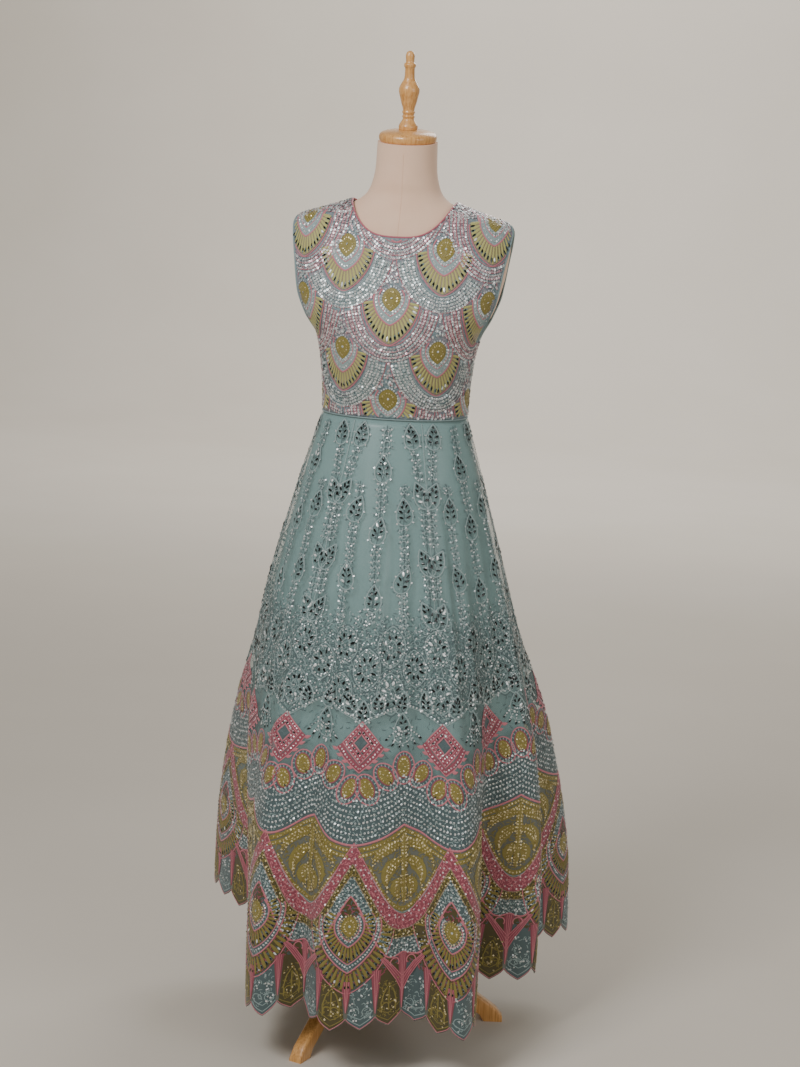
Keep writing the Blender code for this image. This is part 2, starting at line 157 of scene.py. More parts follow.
HEM = (
    HemRow(-180.0, 0.266, 0.140),
    HemRow(-163.0, 0.336, 0.130),
    HemRow(-143.0, 0.258, 0.160),
    HemRow(-117.0, 0.362, 0.212),
    HemRow(-84.0, 0.208, 0.185),
    HemRow(-52.0, 0.250, 0.126),
    HemRow(-31.0, 0.318, 0.117),
    HemRow(-19.0, 0.268, 0.133),
    HemRow(-7.0, 0.306, 0.116),
    HemRow(8.0, 0.296, 0.121),
    HemRow(23.0, 0.272, 0.127),
    HemRow(35.0, 0.352, 0.113),
    HemRow(63.0, 0.202, 0.146),
    HemRow(80.0, 0.318, 0.148),
    HemRow(95.0, 0.258, 0.166),
    HemRow(117.0, 0.402, 0.158),
    HemRow(140.0, 0.258, 0.150),
    HemRow(160.0, 0.336, 0.130),
)


@dataclass(frozen=True)
class Crease:
    """A soft ridge (or trough, with a negative depth) in cloth, between two levels."""

    share: float
    top: float
    bottom: float
    width: float
    depth: float
    lean: float = 0.0


# Soft vertical folds of the net, uneven in spacing, length and depth, all round the skirt
NET_CREASES = (
    Crease(0.010, 0.10, 0.62, 0.0063, 0.0037, 0.004),
    Crease(0.046, 0.06, 0.48, 0.0056, 0.0031, -0.003),
    Crease(0.071, 0.16, 0.70, 0.0075, 0.0051, 0.005),
    Crease(0.104, 0.08, 0.55, 0.0063, 0.0041, 0.002),
    Crease(0.139, 0.20, 0.66, 0.0075, 0.0048, -0.004),
    Crease(-0.027, 0.14, 0.58, 0.0063, 0.0037, -0.004),
    Crease(-0.060, 0.07, 0.50, 0.0063, 0.0034, 0.003),
    Crease(-0.092, 0.18, 0.72, 0.0075, 0.0051, -0.004),
    Crease(-0.128, 0.10, 0.60, 0.0069, 0.0041, 0.002),
    Crease(-0.163, 0.22, 0.68, 0.0075, 0.0044, 0.004),
    Crease(0.176, 0.12, 0.56, 0.0063, 0.0037, 0.003),
    Crease(0.215, 0.08, 0.64, 0.0069, 0.0048, -0.003),
    Crease(0.251, 0.18, 0.70, 0.0075, 0.0044, 0.004),
    Crease(0.293, 0.10, 0.52, 0.0063, 0.0037, -0.002),
    Crease(0.331, 0.20, 0.68, 0.0075, 0.0051, 0.003),
    Crease(0.372, 0.08, 0.58, 0.0063, 0.0037, -0.004),
    Crease(0.416, 0.16, 0.66, 0.0075, 0.0048, 0.004),
    Crease(0.458, 0.10, 0.54, 0.0063, 0.0041, -0.002),
    Crease(-0.494, 0.18, 0.64, 0.0069, 0.0044, 0.003),
    Crease(-0.451, 0.08, 0.56, 0.0063, 0.0037, -0.003),
    Crease(-0.409, 0.20, 0.70, 0.0075, 0.0051, 0.002),
    Crease(-0.366, 0.10, 0.60, 0.0063, 0.0037, 0.004),
    Crease(-0.322, 0.16, 0.66, 0.0075, 0.0044, -0.004),
    Crease(-0.281, 0.08, 0.52, 0.0063, 0.0041, 0.003),
    Crease(-0.240, 0.18, 0.68, 0.0075, 0.0048, -0.003),
    Crease(-0.201, 0.12, 0.58, 0.0063, 0.0037, 0.002),
)

# Folds of the satin lining: deeper than the net's, with the one that snakes at the wearer's left front
LINING_CREASES = (
    Crease(0.022, 0.08, 0.60, 0.0087, -0.0090, 0.004),
    Crease(0.055, 0.16, 0.70, 0.0101, -0.0108, -0.006),
    Crease(0.086, 0.24, 0.50, 0.0058, 0.0090, 0.014),
    Crease(0.093, 0.24, 0.50, 0.0058, -0.0108, 0.014),
    Crease(0.122, 0.12, 0.70, 0.0116, -0.0108, 0.004),
    Crease(-0.018, 0.20, 0.70, 0.0101, -0.0090, -0.005),
    Crease(-0.050, 0.08, 0.64, 0.0087, -0.0090, 0.004),
    Crease(-0.084, 0.14, 0.70, 0.0116, -0.0126, -0.004),
    Crease(-0.119, 0.20, 0.70, 0.0101, -0.0108, 0.005),
    Crease(-0.150, 0.10, 0.62, 0.0101, -0.0090, -0.004),
    Crease(0.160, 0.18, 0.70, 0.0116, -0.0126, 0.004),
    Crease(0.204, 0.10, 0.66, 0.0101, -0.0108, -0.004),
    Crease(0.247, 0.20, 0.70, 0.0116, -0.0126, 0.005),
    Crease(0.290, 0.12, 0.64, 0.0101, -0.0108, -0.003),
    Crease(0.338, 0.18, 0.70, 0.0116, -0.0126, 0.004),
    Crease(0.386, 0.10, 0.62, 0.0101, -0.0108, -0.005),
    Crease(0.432, 0.20, 0.70, 0.0116, -0.0126, 0.004),
    Crease(0.480, 0.12, 0.66, 0.0101, -0.0108, -0.003),
    Crease(-0.466, 0.18, 0.70, 0.0116, -0.0126, 0.005),
    Crease(-0.420, 0.10, 0.64, 0.0101, -0.0108, -0.004),
    Crease(-0.374, 0.20, 0.70, 0.0116, -0.0126, 0.003),
    Crease(-0.330, 0.12, 0.62, 0.0101, -0.0108, -0.005),
    Crease(-0.284, 0.18, 0.70, 0.0116, -0.0126, 0.004),
    Crease(-0.238, 0.10, 0.66, 0.0101, -0.0108, -0.003),
    Crease(-0.196, 0.20, 0.70, 0.0116, -0.0126, 0.004),
)


def smooth_between(x: np.ndarray, knots: np.ndarray, values: np.ndarray) -> np.ndarray:
    """Values on a curve through knots that never overshoots them.

    Args:
        x: where the curve is read.
        knots: rising places of the known values.
        values: the known values.

    Returns:
        The curve's values at x.
    """
    x = np.clip(x, knots[0], knots[-1])
    step = np.diff(knots)
    slope = np.diff(values) / step
    inner = np.where(
        slope[:-1] * slope[1:] > 0,
        2 * slope[:-1] * slope[1:] / (slope[:-1] + slope[1:] + 1e-12),
        0.0,
    )
    tangent = np.concatenate([[slope[0]], inner, [slope[-1]]])
    i = np.clip(np.searchsorted(knots, x, side="right") - 1, 0, len(step) - 1)
    t = (x - knots[i]) / step[i]
    start = (1 + 2 * t) * (1 - t) ** 2 * values[i] + t * (1 - t) ** 2 * step[i] * tangent[i]
    end = t * t * (3 - 2 * t) * values[i + 1] + t * t * (t - 1) * step[i] * tangent[i + 1]
    return start + end


def column(rows: tuple, name: str) -> np.ndarray:
    """One named column of a table."""
    return np.array([getattr(row, name) for row in rows])


def torso_at(z: np.ndarray, name: str) -> np.ndarray:
    """A torso section's size at height z."""
    return smooth_between(z, column(TORSO, "z"), column(TORSO, name))


def skirt_at(level: np.ndarray, name: str) -> np.ndarray:
    """A skirt section's size at a level between waist and hem."""
    return smooth_between(level, column(SKIRT, "level"), column(SKIRT, name))


def hem_at(angle: np.ndarray, name: str) -> np.ndarray:
    """The hem's radius or height at an angle, all round.

    Args:
        angle: radians from the front.
        name: the table's column.

    Returns:
        The column's values at the angles.
    """
    angles = np.radians(column(HEM, "angle_deg"))
    knots = np.concatenate([angles - TAU, angles, angles + TAU])
    turned = (angle + math.pi) % TAU - math.pi
    return smooth_between(turned, knots, np.tile(column(HEM, name), 3))


def torso_depth(x: np.ndarray, z: np.ndarray, facing: int) -> np.ndarray:
    """The torso surface's Y at x and z, in front (facing -1) or behind (facing +1).

    Args:
        x: places across, in metres.
        z: heights.
        facing: -1 or +1.

    Returns:
        The Y of each place.
    """
    share = np.clip(np.abs(x) / torso_at(z, "half_width"), 0.0, 1.0)
    squareness = torso_at(z, "squareness")
    reach = torso_at(z, "front" if facing < 0 else "back")
    return facing * reach * np.maximum(1 - share**squareness, 0.0) ** (1 / squareness)


def torso_normal(points: np.ndarray) -> np.ndarray:
    """Outward normals of the torso's surface, from the slope of its section formula.

    Args:
        points: places on the surface, [..., xyz], from the stand's axis.

    Returns:
        Unit normals of the same shape.
    """

    def section(p: np.ndarray) -> np.ndarray:
        """The section formula, 1 on the surface.

        Args:
            p: places, [..., xyz].

        Returns:
            The formula's values.
        """
        power = torso_at(p[..., 2], "squareness")
        deep = np.where(p[..., 1] < 0, torso_at(p[..., 2], "front"), torso_at(p[..., 2], "back"))
        across = np.abs(p[..., 0]) / torso_at(p[..., 2], "half_width")
        return across**power + (np.abs(p[..., 1]) / deep) ** power

    step = 2e-4
    slopes = []
    for axis in range(3):
        shift = np.zeros(3)
        shift[axis] = step
        slopes.append(section(points + shift) - section(points - shift))
    normal = np.stack(slopes, axis=-1)
    return normal / np.linalg.norm(normal, axis=-1, keepdims=True)


def skirt_point(angle: np.ndarray, level: np.ndarray, inward: float = 0.0) -> np.ndarray:
    """A point of the skirt's surface, moved in towards the axis by inward.

    Args:
        angle: radians from the front.
        level: 0 at the waist to 1 at the hem.
        inward: metres towards the axis.

    Returns:
        The points, [..., xyz].
    """
    wide = skirt_at(level, "half_width")
    deep = np.where(np.cos(angle) > 0, skirt_at(level, "front"), skirt_at(level, "back"))
    round_radius = 1 / np.sqrt((np.sin(angle) / wide) ** 2 + (np.cos(angle) / deep) ** 2)
    last = SKIRT[-1]
    hem_deep = np.where(np.cos(angle) > 0, last.front, last.back)
    hem_round = 1 / np.sqrt((np.sin(angle) / last.half_width) ** 2 + (np.cos(angle) / hem_deep) ** 2)
    fold = (hem_at(angle, "radius") - hem_round) * skirt_at(level, "fold_share")
    radius = round_radius + fold - inward
    z = WAIST_Z + (hem_at(angle, "z") - WAIST_Z) * level
    return np.stack([radius * np.sin(angle), -radius * np.cos(angle), z], axis=-1)


def petal_drop(share: np.ndarray) -> np.ndarray:
    """How far the hem's petals hang below its line, in metres.

    Args:
        share: places round the skirt, -0.5 to 0.5.

    Returns:
        The drop at each place.
    """
    petals = share * len(KALIS) * PETALS_PER_KALI
    off_tip = np.abs(2 * (petals - np.floor(petals)) - 1)
    return PETAL_DEPTH * (1 - off_tip) ** PETAL_ROUNDNESS


def top_edge_z(x: np.ndarray, neck_z: float) -> np.ndarray:
    """The top edge of a bodice piece at x: the neckline, then the shoulder seam.

    Args:
        x: places across, in metres.
        neck_z: the neckline's height in its middle.

    Returns:
        The edge's heights.
    """
    shoulder = np.linspace(SHOULDER_TIP_Z, TORSO[NECK_POINT_ROW].z, 60)
    ridge_x = torso_at(shoulder, "half_width")
    ridge = np.interp(-np.abs(x), -ridge_x, shoulder)
    neck_point_z = np.interp(-NECK_POINT_X, -ridge_x, shoulder)
    neckline = neck_z + (neck_point_z - neck_z) * (np.abs(x) / NECK_POINT_X) ** NECK_CURVE
    # Build both pieces.
    return np.where(np.abs(x) < NECK_POINT_X, neckline, ridge)


def bodice_edge_x(z: np.ndarray) -> np.ndarray:
    """How far out a bodice piece reaches at a height: its side seam, then its armhole.

    Args:
        z: heights.

    Returns:
        The half width at each height.
    """
    rise = np.clip((z - UNDERARM_Z) / (SHOULDER_TIP_Z - UNDERARM_Z), 0.0, 1.0)
    inset = ARMHOLE_INSET * np.sin(math.pi * rise)
    return torso_at(np.minimum(z, SHOULDER_TIP_Z), "half_width") - inset


def anchor() -> np.ndarray:
    """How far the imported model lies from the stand's axis, read from the pole."""
    low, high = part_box("stand_pole")
    return np.array([(low.x + high.x) / 2, (low.y + high.y) / 2, 0.0])


ANCHOR = anchor()


class ClothSurface:
    """A cloth surface that is looked up by share across it and level down it.

    Rows of the lookup grid run down at even levels, columns across at even shares of a row's length.
    """

    def __init__(self, points: np.ndarray, first: float, last: float, drop: float, wraps: bool) -> None:
        """Keep the grid and work out its normals and lengths.

        Args:
            points: the grid, [row, column, xyz], in metres.
            first: the first row's level.
            last: the last row's level.
            drop: metres of cloth down one unit of level.
            wraps: True where the last column meets the first one.
        """
        self.points = points
        self.first = first
        self.last = last
        self.drop = drop
        self.wraps = wraps
        self.levels = np.linspace(first, last, points.shape[0])
        steps = np.linalg.norm(np.diff(points, axis=1), axis=-1)
        self.lengths = steps.sum(axis=1)
        if wraps:
            core = points[:, :-1]
            across = np.roll(core, -1, axis=1) - np.roll(core, 1, axis=1)
            across = np.concatenate([across, across[:, :1]], axis=1)
        else:
            across = np.gradient(points, axis=1)
        down = np.gradient(points, axis=0)
        normals = np.cross(down, across)
        self.normals = normals / (np.linalg.norm(normals, axis=-1, keepdims=True) + 1e-12)
        self.across = across / (np.linalg.norm(across, axis=-1, keepdims=True) + 1e-12)

    def length_at(self, level: np.ndarray) -> np.ndarray:
        """The cloth's whole length across at a level, in metres."""
        return np.interp(level, self.levels, self.lengths)

    def read(self, grid: np.ndarray, share: np.ndarray, level: np.ndarray) -> np.ndarray:
        """A grid's values between its points.

        Args:
            grid: values at the lookup points, [row, column, ...].
            share: places across.
            level: places down.

        Returns:
            The values at the places.
        """
        rows, columns = grid.shape[:2]
        turned = (share + 0.5) % 1.0 if self.wraps else np.clip(share + 0.5, 0.0, 1.0)
        x = turned * (columns - 1)
        y = np.clip((level - self.first) / (self.last - self.first), 0.0, 1.0) * (rows - 1)
        i = np.minimum(y.astype(int), rows - 2)
        j = np.minimum(x.astype(int), columns - 2)
        v = (y - i)[..., None]
        u = (x - j)[..., None]
        top = grid[i, j] * (1 - u) + grid[i, j + 1] * u
        under = grid[i + 1, j] * (1 - u) + grid[i + 1, j + 1] * u
        return top * (1 - v) + under * v

    def place(self, share: np.ndarray, level: np.ndarray, lift: np.ndarray | float = 0.0) -> np.ndarray:
        """Points on the cloth, lifted off it along its normal.

        Args:
            share: places across, -0.5 to 0.5.
            level: places down.
            lift: metres out of the cloth.

        Returns:
            The points in the frame, [..., xyz].
        """
        share, level = np.asarray(share, float), np.asarray(level, float)
        raised = self.read(self.normals, share, level) * np.asarray(lift, float)[..., None]
        return self.read(self.points, share, level) + raised

    def relieved(self, relief: np.ndarray) -> "ClothSurface":
        """The same cloth with its grid moved out by relief, in metres."""
        moved = self.points + self.normals * relief[..., None]
        return ClothSurface(moved, self.first, self.last, self.drop, self.wraps)

    def spaced(self, path: np.ndarray, step_mm: float) -> tuple[np.ndarray, np.ndarray]:
        """Even places along a path.

        Args:
            path: places (share, level) along it.
            step_mm: their spacing in millimetres.

        Returns:
            The places, and the path's direction there in radians from straight across to straight down.
        """
        scale = self.metric(path[:, 1])
        flat = np.diff(path, axis=0) * (scale[1:] + scale[:-1]) / 2
        run = np.concatenate([[0.0], np.cumsum(np.hypot(flat[:, 0], flat[:, 1]))])
        count = max(int(round(run[-1] / (step_mm * MM))), 1)
        at = (np.arange(count) + 0.5) / count * run[-1]
        places = np.stack([np.interp(at, run, path[:, 0]), np.interp(at, run, path[:, 1])], axis=-1)
        piece = np.clip(np.searchsorted(run, at) - 1, 0, len(flat) - 1)
        return places, np.arctan2(flat[piece, 1], flat[piece, 0])

    def metric(self, level: np.ndarray) -> np.ndarray:
        """Metres across and down of one unit of share and of level, at each level."""
        return np.stack([self.length_at(level), np.full_like(level, self.drop)], axis=-1)


def crease_relief(creases: tuple[Crease, ...], shares: np.ndarray, levels: np.ndarray) -> np.ndarray:
    """The height of all creases over a grid of levels and shares, in metres.

    Args:
        creases: the folds.
        shares: the grid's columns.
        levels: the grid's rows.

    Returns:
        The relief, [row, column].
    """
    relief = np.zeros((len(levels), len(shares)))
    for crease in creases:
        along = np.clip((levels - crease.top) / (crease.bottom - crease.top), 0.0, 1.0)
        fade = np.sin(math.pi * along) ** 0.8
        centre = crease.share + crease.lean * np.sin(math.pi * along * 1.5)
        off = (shares[None, :] - centre[:, None] + 0.5) % 1.0 - 0.5
        relief += crease.depth * fade[:, None] * np.exp(-((off / crease.width) ** 2))
    return relief


def skirt_surface(creases: tuple[Crease, ...], lining: bool) -> ClothSurface:
    """The skirt's cloth as a lookup surface.

    Args:
        creases: the soft folds added to the cut's own form.
        lining: True for the lining, which hangs inside the net.

    Returns:
        The surface, closed round the wearer.
    """
    row_count, column_count = 207, 1441
    levels = np.linspace(0.0, LOWEST_LEVEL, row_count)
    shares = np.linspace(-0.5, 0.5, column_count)
    fine = np.linspace(-math.pi, math.pi, column_count)
    rows = []
    for level in levels:
        inward = float(skirt_at(np.array([level]), "lining_gap")[0]) if lining else 0.0
        points = skirt_point(fine, np.full_like(fine, level), inward)
        length = np.concatenate([[0.0], np.cumsum(np.linalg.norm(np.diff(points, axis=0), axis=1))])
        front = np.interp(0.0, fine, length)
        wanted = front + shares * length[-1]
        turns = np.floor(wanted / length[-1])
        angles = np.interp(wanted - turns * length[-1], length, fine) + turns * TAU
        rows.append(skirt_point(angles, np.full_like(angles, level), inward))
    points = np.array(rows) + ANCHOR
    plain = ClothSurface(points, 0.0, LOWEST_LEVEL, SKIRT_DROP, wraps=True)
    return plain.relieved(crease_relief(creases, shares, levels))


def bodice_relief(x: np.ndarray, z: np.ndarray, facing: int) -> np.ndarray:
    """Soft drag folds of the bodice: short slanting troughs at the sides over the waist, in metres.

    Args:
        x: places across, in metres.
        z: heights.
        facing: -1 in front, +1 behind.

    Returns:
        The relief at each place.
    """
    relief = np.zeros(np.broadcast(x, z).shape)
    folds = ((0.098, 1.168, 26.0), (0.104, 1.196, 18.0), (-0.100, 1.174, -22.0), (-0.106, 1.204, -16.0))
    for centre_x, centre_z, tilt_deg in folds:
        tilt = math.radians(tilt_deg)
        along = (x - centre_x) * math.cos(tilt) + (z - centre_z) * math.sin(tilt)
        over = -(x - centre_x) * math.sin(tilt) + (z - centre_z) * math.cos(tilt)
        relief -= 0.0016 * np.exp(-((along / 0.030) ** 2) - (over / 0.006) ** 2)
    for centre_x in (0.0, 0.045 * facing, -0.052):
        relief -= 0.0008 * np.exp(-(((x - centre_x) / 0.009) ** 2) - ((z - 1.16) / 0.022) ** 2)
    return relief


def bodice_surface(facing: int) -> ClothSurface:
    """The front (facing -1) or back (+1) of the bodice as a lookup surface, from neck level to waist.

    Args:
        facing: -1 or +1.

    Returns:
        The surface, open at its side seams.
    """
    row_count, column_count = 160, 361
    turn = np.linspace(-math.pi / 2, math.pi / 2, 721)
    rows = []
    for z in np.linspace(BODICE_TOP_Z, WAIST_Z, row_count):
        height = np.full_like(turn, z)
        x = -facing * torso_at(height, "half_width") * np.sin(turn)
        points = np.stack([x, torso_depth(x, height, facing), height], axis=-1)
        length = np.concatenate([[0.0], np.cumsum(np.linalg.norm(np.diff(points, axis=0), axis=1))])
        wanted = np.linspace(0.0, length[-1], column_count)
        rows.append(np.stack([np.interp(wanted, length, points[:, axis]) for axis in range(3)], axis=-1))
    points = np.array(rows) + ANCHOR
    plain = ClothSurface(points, 0.0, 1.0, BODICE_TOP_Z - WAIST_Z, wraps=False)
    local = points - ANCHOR
    return plain.relieved(NET_WALL / 2 + bodice_relief(local[..., 0], local[..., 2], facing))


def bodice_level(z: float) -> float:
    """The bodice surface's level at a height."""
    return (BODICE_TOP_Z - z) / (BODICE_TOP_Z - WAIST_Z)


class Thread(IntEnum):
    """The threads of the embroidery, in the order of their material slots."""

    TEAL = 0
    SILVER_TEAL = 1
    PINK = 2
    DEEP_PINK = 3
    OLIVE = 4
    DARK_OLIVE = 5
    BEIGE = 6
    LIME = 7


class Bead(IntEnum):
    """What is sewn on: sequins by colour, cut mirrors and their rims, and mirrors painted near-white as a
    painted reflection of light.
    """

    SILVER = 0
    GOLD = 1
    ROSE = 2
    MIRROR = 3
    RIM = 4
    FLASH = 5


def linear(hex_colour: str) -> tuple[float, float, float, float]:
    """An sRGB hex colour as linear values with full alpha.

    Args:
        hex_colour: # and six digits.

    Returns:
        Red, green, blue and alpha, 0 to 1.
    """
    parts = [int(hex_colour[i : i + 2], 16) / 255 for i in (1, 3, 5)]
    turned = [c / 12.92 if c <= 0.04045 else ((c + 0.055) / 1.055) ** 2.4 for c in parts]
    return (*turned, 1.0)


def plug(node: Node, sockets: dict) -> None:
    """Set a node's inputs.

    Args:
        node: the node.
        sockets: its inputs by name (underscores for spaces, or i and a number), each a value, a hex
            colour or an output to link.
    """
    for name, value in sockets.items():
        socket = node.inputs[int(name[1:])] if name[1:].isdigit() else node.inputs[name.replace("_", " ")]
        if isinstance(value, NodeSocket):
            node.id_data.links.new(value, socket)
        else:
            socket.default_value = linear(value) if isinstance(value, str) else value


def add_node(tree: NodeTree, kind: str, settings: dict | None = None, **sockets) -> Node:
    """Add a node with its settings, values and links.

    Args:
        tree: the material's node tree.
        kind: the node's type name.
        settings: the node's own properties.
        sockets: its inputs, as plug takes them.

    Returns:
        The new node.
    """
    node = tree.nodes.new(kind)
    for name, value in (settings or {}).items():
        setattr(node, name, value)
    plug(node, sockets)
    return node


def new_material(name: str, **sockets) -> tuple[Material, NodeTree, Node]:
    """A Principled material with constant sockets set.

    Args:
        name: what it is and how it was made.
        sockets: the shader's inputs, as plug takes them.

    Returns:
        The material, its node tree and its shader.
    """
    made = bpy.data.materials.new(name)
    made.use_nodes = True
    shader = made.node_tree.nodes["Principled BSDF"]
    plug(shader, sockets)
    return made, made.node_tree, shader


def wave_scale(period_mm: float) -> float:
    """The scale of a Wave node, on coordinates in metres, for bands of a real spacing."""
    return TAU / 20 / (period_mm * MM)


# The setting of a Mix node that mixes colours: its inputs are 0, 6 and 7 and its output is 2
RGBA = {"data_type": "RGBA"}


@dataclass(frozen=True)
class NetFinish:
    """Soft polyester net, warp-knitted into fine holes: a milky see-through skin over the satin."""

    colour: str = "#a3bab9"
    shade: str = "#86a09f"
    # The grey below the lining is partly the stitches behind the net, partly painted shade of the skirt's
    # dark inside.
    low: str = "#6d7068"
    alpha: float = 0.36
    low_alpha: float = 0.93
    hole_mm: float = 2.4

    def material(self) -> Material:
        """The net; its 1 mm holes are drawn at 2.4 mm so that they show.

        Below the satin the net greys and lets less through: partly the stitches that back it, partly painted
        shade of the skirt's dark inside showing through it.

        Returns:
            The material.
        """
        made, tree, shader = new_material("knitted_polyester_net", Roughness=0.75, Sheen_Weight=0.15)
        at = add_node(tree, "ShaderNodeTexCoord").outputs["Object"]
        edges = {"feature": "DISTANCE_TO_EDGE"}
        holes = add_node(tree, "ShaderNodeTexVoronoi", edges, Vector=at, Scale=1 / (self.hole_mm * MM))
        yarn = add_node(tree, "ShaderNodeMapRange", Value=holes.outputs["Distance"], From_Max=0.25)
        yarn = yarn.outputs["Result"]
        upper = add_node(tree, "ShaderNodeMix", RGBA, i0=yarn, i6=self.colour, i7=self.shade)
        level = add_node(tree, "ShaderNodeAttribute", {"attribute_name": "level"}).outputs["Fac"]
        backed = add_node(tree, "ShaderNodeMapRange", Value=level, From_Min=0.655, From_Max=0.70)
        below = backed.outputs["Result"]
        # Below the lining hem the net turns grey and nearly opaque, partly as painted shade of the skirt's
        # inside.
        colour = add_node(tree, "ShaderNodeMix", RGBA, i0=below, i6=upper.outputs[2], i7=self.low)
        seen = add_node(tree, "ShaderNodeMapRange", Value=below, To_Min=self.alpha, To_Max=self.low_alpha)
        bump = add_node(tree, "ShaderNodeBump", Height=yarn, Strength=0.25, Distance=0.0004)
        plug(shader, {"Base Color": colour.outputs[2], "Alpha": seen.outputs["Result"]})
        plug(shader, {"Normal": bump.outputs["Normal"]})
        return made


@dataclass(frozen=True)
class SatinFinish:
    """Polyester satin, woven with long floats: a smooth lining with a soft broad shine."""

    colour: str = "#8cb1b0"
    shade: str = "#7ba2a2"

    def material(self) -> Material:
        """The lining, its colour drifting slowly and its floats as fine upright lines.

        Returns:
            The material.
        """
        made, tree, shader = new_material(
            "woven_polyester_satin", Roughness=0.33, Sheen_Weight=0.1, Specular_IOR_Level=0.6
        )
        at = add_node(tree, "ShaderNodeTexCoord").outputs["Object"]
        drift = add_node(tree, "ShaderNodeTexNoise", Vector=at, Scale=14.0, Detail=3.0)
        tone = add_node(
            tree, "ShaderNodeMix", RGBA, i0=drift.outputs["Fac"], i6=self.colour, i7=self.shade
        )
        upright = add_node(tree, "ShaderNodeMapping", Vector=at, Scale=(900.0, 900.0, 60.0))
        floats = add_node(tree, "ShaderNodeTexNoise", Vector=upright.outputs["Vector"], Scale=1.0)
        bump = add_node(tree, "ShaderNodeBump", Height=floats.outputs["Fac"], Strength=0.12, Distance=0.0003)
        plug(shader, {"Base Color": tone.outputs[2], "Normal": bump.outputs["Normal"]})
        return made


@dataclass(frozen=True)
class GroundFinish:
    """Bodice cloth covered in close hand embroidery: a mottled ground of teal, silver and rose threads."""

    base: str = "#90a5aa"
    rose: str = "#b0929d"
    dark: str = "#647a80"
    stitch_mm: float = 3.0

    def material(self) -> Material:
        """The bodice's cloth; stitches of 2 mm, drawn at 3 mm, in three colours.

        Returns:
            The material.
        """
        made, tree, shader = new_material("hand_embroidered_ground", Roughness=0.6, Sheen_Weight=0.1)
        at = add_node(tree, "ShaderNodeTexCoord").outputs["Object"]
        patches = add_node(tree, "ShaderNodeTexNoise", Vector=at, Scale=26.0, Detail=2.0)
        stitches = add_node(tree, "ShaderNodeTexVoronoi", Vector=at, Scale=1 / (self.stitch_mm * MM))
        tone = add_node(
            tree, "ShaderNodeMapRange", Value=patches.outputs["Fac"], From_Min=0.4, From_Max=0.62
        )
        ground = add_node(
            tree, "ShaderNodeMix", RGBA, i0=tone.outputs["Result"], i6=self.base, i7=self.rose
        )
        spread = add_node(tree, "ShaderNodeMapRange", Value=stitches.outputs["Distance"], From_Max=0.8)
        gaps = spread.outputs["Result"]
        both = add_node(tree, "ShaderNodeMix", RGBA, i0=gaps, i6=ground.outputs[2], i7=self.dark)
        bump = add_node(tree, "ShaderNodeBump", Height=gaps, Strength=0.5, Distance=0.0006)
        plug(shader, {"Base Color": both.outputs[2], "Normal": bump.outputs["Normal"]})
        return made


@dataclass(frozen=True)
class ThreadFinish:
    """Rayon thread in satin stitch: raised lines and fills with a silky streak along each stitch and painted
    shade between stitches.
    """

    name: str
    colour: str
    shade: str
    stitch_mm: float = 1.6

    def material(self) -> Material:
        """The thread; stitches of 0.6 mm are drawn at 1.6 mm so that they show, with painted shade in the
        grooves between them.

        Returns:
            The material.
        """
        made, tree, shader = new_material(
            self.name, Roughness=0.5, Sheen_Weight=0.2, Base_Color=self.colour
        )
        flat = add_node(tree, "ShaderNodeUVMap", {"uv_map": "stitch"}).outputs["UV"]
        rows = add_node(
            tree,
            "ShaderNodeTexWave",
            Vector=flat,
            Scale=wave_scale(self.stitch_mm),
            Distortion=1.2,
            Detail=1.0,
        ).outputs["Fac"]
        # The darker second colour in the grooves between stitches is painted shade.
        tone = add_node(tree, "ShaderNodeMix", RGBA, i0=rows, i6=self.shade, i7=self.colour)
        bump = add_node(tree, "ShaderNodeBump", Height=rows, Strength=0.5, Distance=0.0005)
        plug(shader, {"Base Color": tone.outputs[2], "Normal": bump.outputs["Normal"]})
        return made


@dataclass(frozen=True)
class SequinFinish:
    """Punched and metallised plastic film, cupped: small discs, each tilted a little, some near-white from a
    painted highlight.
    """

    name: str
    colour: str
    glint: str
    hole: str = "#64706f"

    def material(self) -> Material:
        """The sequins; a painted highlight makes some near-white at random from one to the next, and each
        punched hole is dark.

        Returns:
            The material.
        """
        made, tree, shader = new_material(
            self.name, Roughness=0.36, Metallic=0.45, Base_Color=self.colour
        )
        at = add_node(tree, "ShaderNodeTexCoord").outputs["Object"]
        tone = add_node(tree, "ShaderNodeTexNoise", Vector=at, Scale=300.0, Detail=0.0)
        spread = add_node(
            tree, "ShaderNodeMapRange", Value=tone.outputs["Fac"], From_Min=0.42, From_Max=0.58
        )
        # Mixing towards the pale second colour paints highlights onto the sequins.
        film = add_node(
            tree, "ShaderNodeMix", RGBA, i0=spread.outputs["Result"], i6=self.colour, i7=self.glint
        )
        rim = add_node(tree, "ShaderNodeAttribute", {"attribute_name": "rim"}).outputs["Fac"]
        solid = add_node(tree, "ShaderNodeMapRange", Value=rim, From_Min=0.24, From_Max=0.42)
        colour = add_node(
            tree, "ShaderNodeMix", RGBA, i0=solid.outputs["Result"], i6=self.hole, i7=film.outputs[2]
        )
        plug(shader, {"Base Color": colour.outputs[2]})
        return made


@dataclass(frozen=True)
class MirrorFinish:
    """Cut almond of glass with a silvered back, painted nearly black as a painted reflection of dark
    surroundings, with a sharp highlight.
    """

    colour: str = "#030605"
    paler_reflection: str = "#10181a"

    def material(self) -> Material:
        """The cut mirror, its nearly black colour a painted dark reflection.

        Returns:
            The material.
        """
        made, tree, shader = new_material(
            "cut_mirror_painted_dark_reflection", Roughness=0.12, Specular_IOR_Level=0.35, Coat_Weight=0.15, IOR=1.52
        )
        at = add_node(tree, "ShaderNodeTexCoord").outputs["Object"]
        tone = add_node(tree, "ShaderNodeTexNoise", Vector=at, Scale=90.0).outputs["Fac"]
        # Both near-black colours are painted reflection, mottled at random.
        colour = add_node(tree, "ShaderNodeMix", RGBA, i0=tone, i6=self.colour, i7=self.paler_reflection)
        plug(shader, {"Base Color": colour.outputs[2]})
        return made


